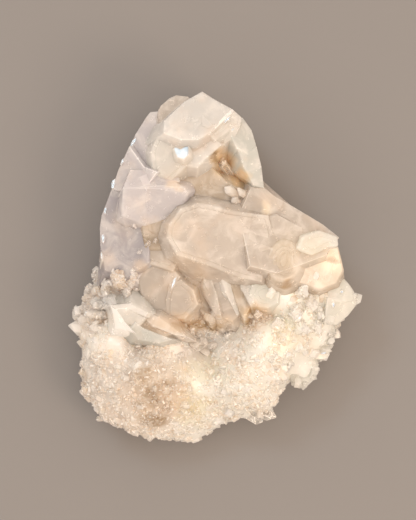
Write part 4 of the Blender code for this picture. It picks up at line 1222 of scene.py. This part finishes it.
def clear_quartz():
    maker = Maker("clear_quartz")
    place = maker.position()
    below_tip = maker.attribute("depth")
    facet = maker.attribute("facet")
    rings = maker.node("ShaderNodeCombineXYZ", {}, {
        "X": below_tip * MM, "Y": maker.attribute("chance"), "Z": facet * 0.02,
    })
    striae = maker.ramp(maker.noise(rings, 0.8, detail=4.0, roughness=0.7), 0.4, 0.62)
    veils = maker.ramp(maker.noise(place, 2.2, detail=6.0, roughness=0.65, distortion=2.0), 0.45, 0.65)
    haze = maker.noise(place, 3.0, detail=4.0)
    relief = maker.noise(place, 0.9, detail=2.0) + striae * 0.5
    bump = maker.bump(GROWTH_LINES, GROWTH_HEIGHT, relief)
    clean = maker.principled(
        Base_Color=CLEAN_COLOR,
        Roughness=maker.ramp(haze, 0.35, 0.8) * 0.12 + 0.02,
        IOR=QUARTZ_IOR,
        Transmission_Weight=1.0,
        Normal=bump,
    )
    cloudy = maker.principled(
        Base_Color=maker.mix(0.5, stone_color(maker, place), HAZY_COLOR),
        Roughness=HAZY_ROUGHNESS,
        IOR=QUARTZ_IOR,
        Normal=bump,
    )
    milk = facet * 0.3 + veils * 0.3 + striae * 0.25 + maker.ramp(below_tip, 3.0, 14.0) * 0.3
    # the bevel strips are made milkier: a painted highlight along the edges
    milk = milk + maker.attribute("rim") * 0.6
    shader = maker.node("ShaderNodeMixShader", {}, {0: milk, 1: clean, 2: cloudy})
    thick = maker.node("ShaderNodeVolumeAbsorption", {}, {"Color": WARM_GLASS, "Density": WARM_DENSITY})
    return maker.finished(Surface=shader, Volume=thick)


def sugar_quartz():
    maker = Maker("sugar_quartz")
    whiteness = maker.attribute("facet") * SUGAR_WHITE
    return maker.finished(Surface=maker.principled(
        Base_Color=maker.mix(whiteness, stone_color(maker, maker.position()), SUGAR_COLOR),
        Roughness=maker.attribute("chance") * 0.14 + 0.04,
        IOR=QUARTZ_IOR,
        Transmission_Weight=SUGAR_CLEAR,
    ))


clear = clear_quartz()
sugar = sugar_quartz()
print("materials", clear.name, "and", sugar.name)

# %% [markdown]
# ## The clear points
#
# The clear crystals are seen one by one, so each place is listed: sparkles on the left flank, a crystal
# in the hollow, one in the valley, one on each ridge, and two past the near edge.

# %% Place the clear points: root, tip, radius, flatness, roll in degrees
POINTS = {
    "flank sparkle": ((-22, 11, 27), (-24.4, 14.6, 33.0), 1.0, 0.8, 10),
    "flank sparkle near": ((-18, 6, 27), (-20.2, 9.0, 33.6), 1.2, 0.8, 0),
    "flank sparkle far": ((-16, 7, 27), (-17.8, 9.8, 34.0), 1.0, 0.7, 20),
    "flank sparkle low": ((-20, 3, 25), (-22.6, 6.4, 32.2), 1.1, 0.8, 15),
    "hollow small": ((7, 28, 22), (2.6, 33.6, 33), 1.5, 1.0, 0),
    "white ridge": ((37, 3, 22), (32.5, 6.4, 34.3), 2.6, 0.8, 15),
    "yellow point": ((17, -20, 18), (14, -12.6, 29), 1.5, 0.8, 0),
    "point clear": ((9, -41, 12), (20.4, -45.4, 14), 2.8, 1.0, 0),
    "point clear near": ((8, -43, 12), (15.8, -47.6, 13), 1.9, 1.0, 25),
    "left peak": ((-27, -9, 20), (-28.5, -1.5, 31), 1.6, 0.6, 10),
}
crystals("clear_points", point_plants(POINTS.values(), None), large_ends, clear)

# %% Plant the finest crystals of the crust
fine = plants_on(Surface(stone), 9000, (0.2, 0.5), (1.0, 1.8), lean=0.5, sunk=0.65, rule=on_crust)
crystals("crust_fine", fine, small_ends, sugar)

# %% [markdown]
# ## The floor and the light
#
# A plain pale floor and soft light, so that only the stone draws the eye. A warm light stands at the near
# right and a cooler one, like a window, at the far left. Its reflection makes the glints.

# %% Lay the floor
FLOOR_COLOR, FLOOR_GRAIN = (0.215, 0.206, 0.202, 1), (0.228, 0.218, 0.214, 1)
bpy.ops.object.select_all(action="DESELECT")
bpy.ops.mesh.primitive_plane_add(size=3.0, location=(0, 0, 0))
floor = bpy.context.object
floor.name = "floor"
maker = Maker("floor_paper")
grain = maker.noise(maker.position(), 60.0, detail=2.0)
paper = maker.principled(Base_Color=maker.mix(grain, FLOOR_COLOR, FLOOR_GRAIN), Roughness=0.85)
floor.data.materials.append(maker.finished(Surface=paper))
print("floor laid")

# %% Place the lights
MIDDLE = Vector((0, 0, 0.02))
# Place in metres, width, watts, colour
LIGHTS = {
    "window": ((-0.45, 0.55, 0.95), 0.27, 2.3, (0.62, 0.85, 1.0)),
    "warm": ((0.55, -0.35, 0.75), 0.35, 2.8, (1.0, 0.78, 0.58)),
    "overhead": ((0.1, 0.1, 1.3), 0.7, 2.5, (1.0, 0.86, 0.74)),
}
ROOM_COLOR, ROOM_LIGHT = (1.0, 0.84, 0.71, 1), 1.24
for name, (place, width, watts, color) in LIGHTS.items():
    lamp = bpy.data.lights.new(name, "AREA")
    lamp.size = width
    lamp.energy = watts
    lamp.color = color
    holder = bpy.data.objects.new(name, lamp)
    bpy.context.scene.collection.objects.link(holder)
    holder.location = place
    holder.rotation_euler = (MIDDLE - Vector(place)).to_track_quat("-Z", "Y").to_euler()
world = bpy.data.worlds.new("room")
bpy.context.scene.world = world
world.use_nodes = True
background = world.node_tree.nodes["Background"]
background.inputs["Color"].default_value = ROOM_COLOR
background.inputs["Strength"].default_value = ROOM_LIGHT
bpy.context.scene.view_settings.view_transform = "Standard"
print("lights:", list(LIGHTS))
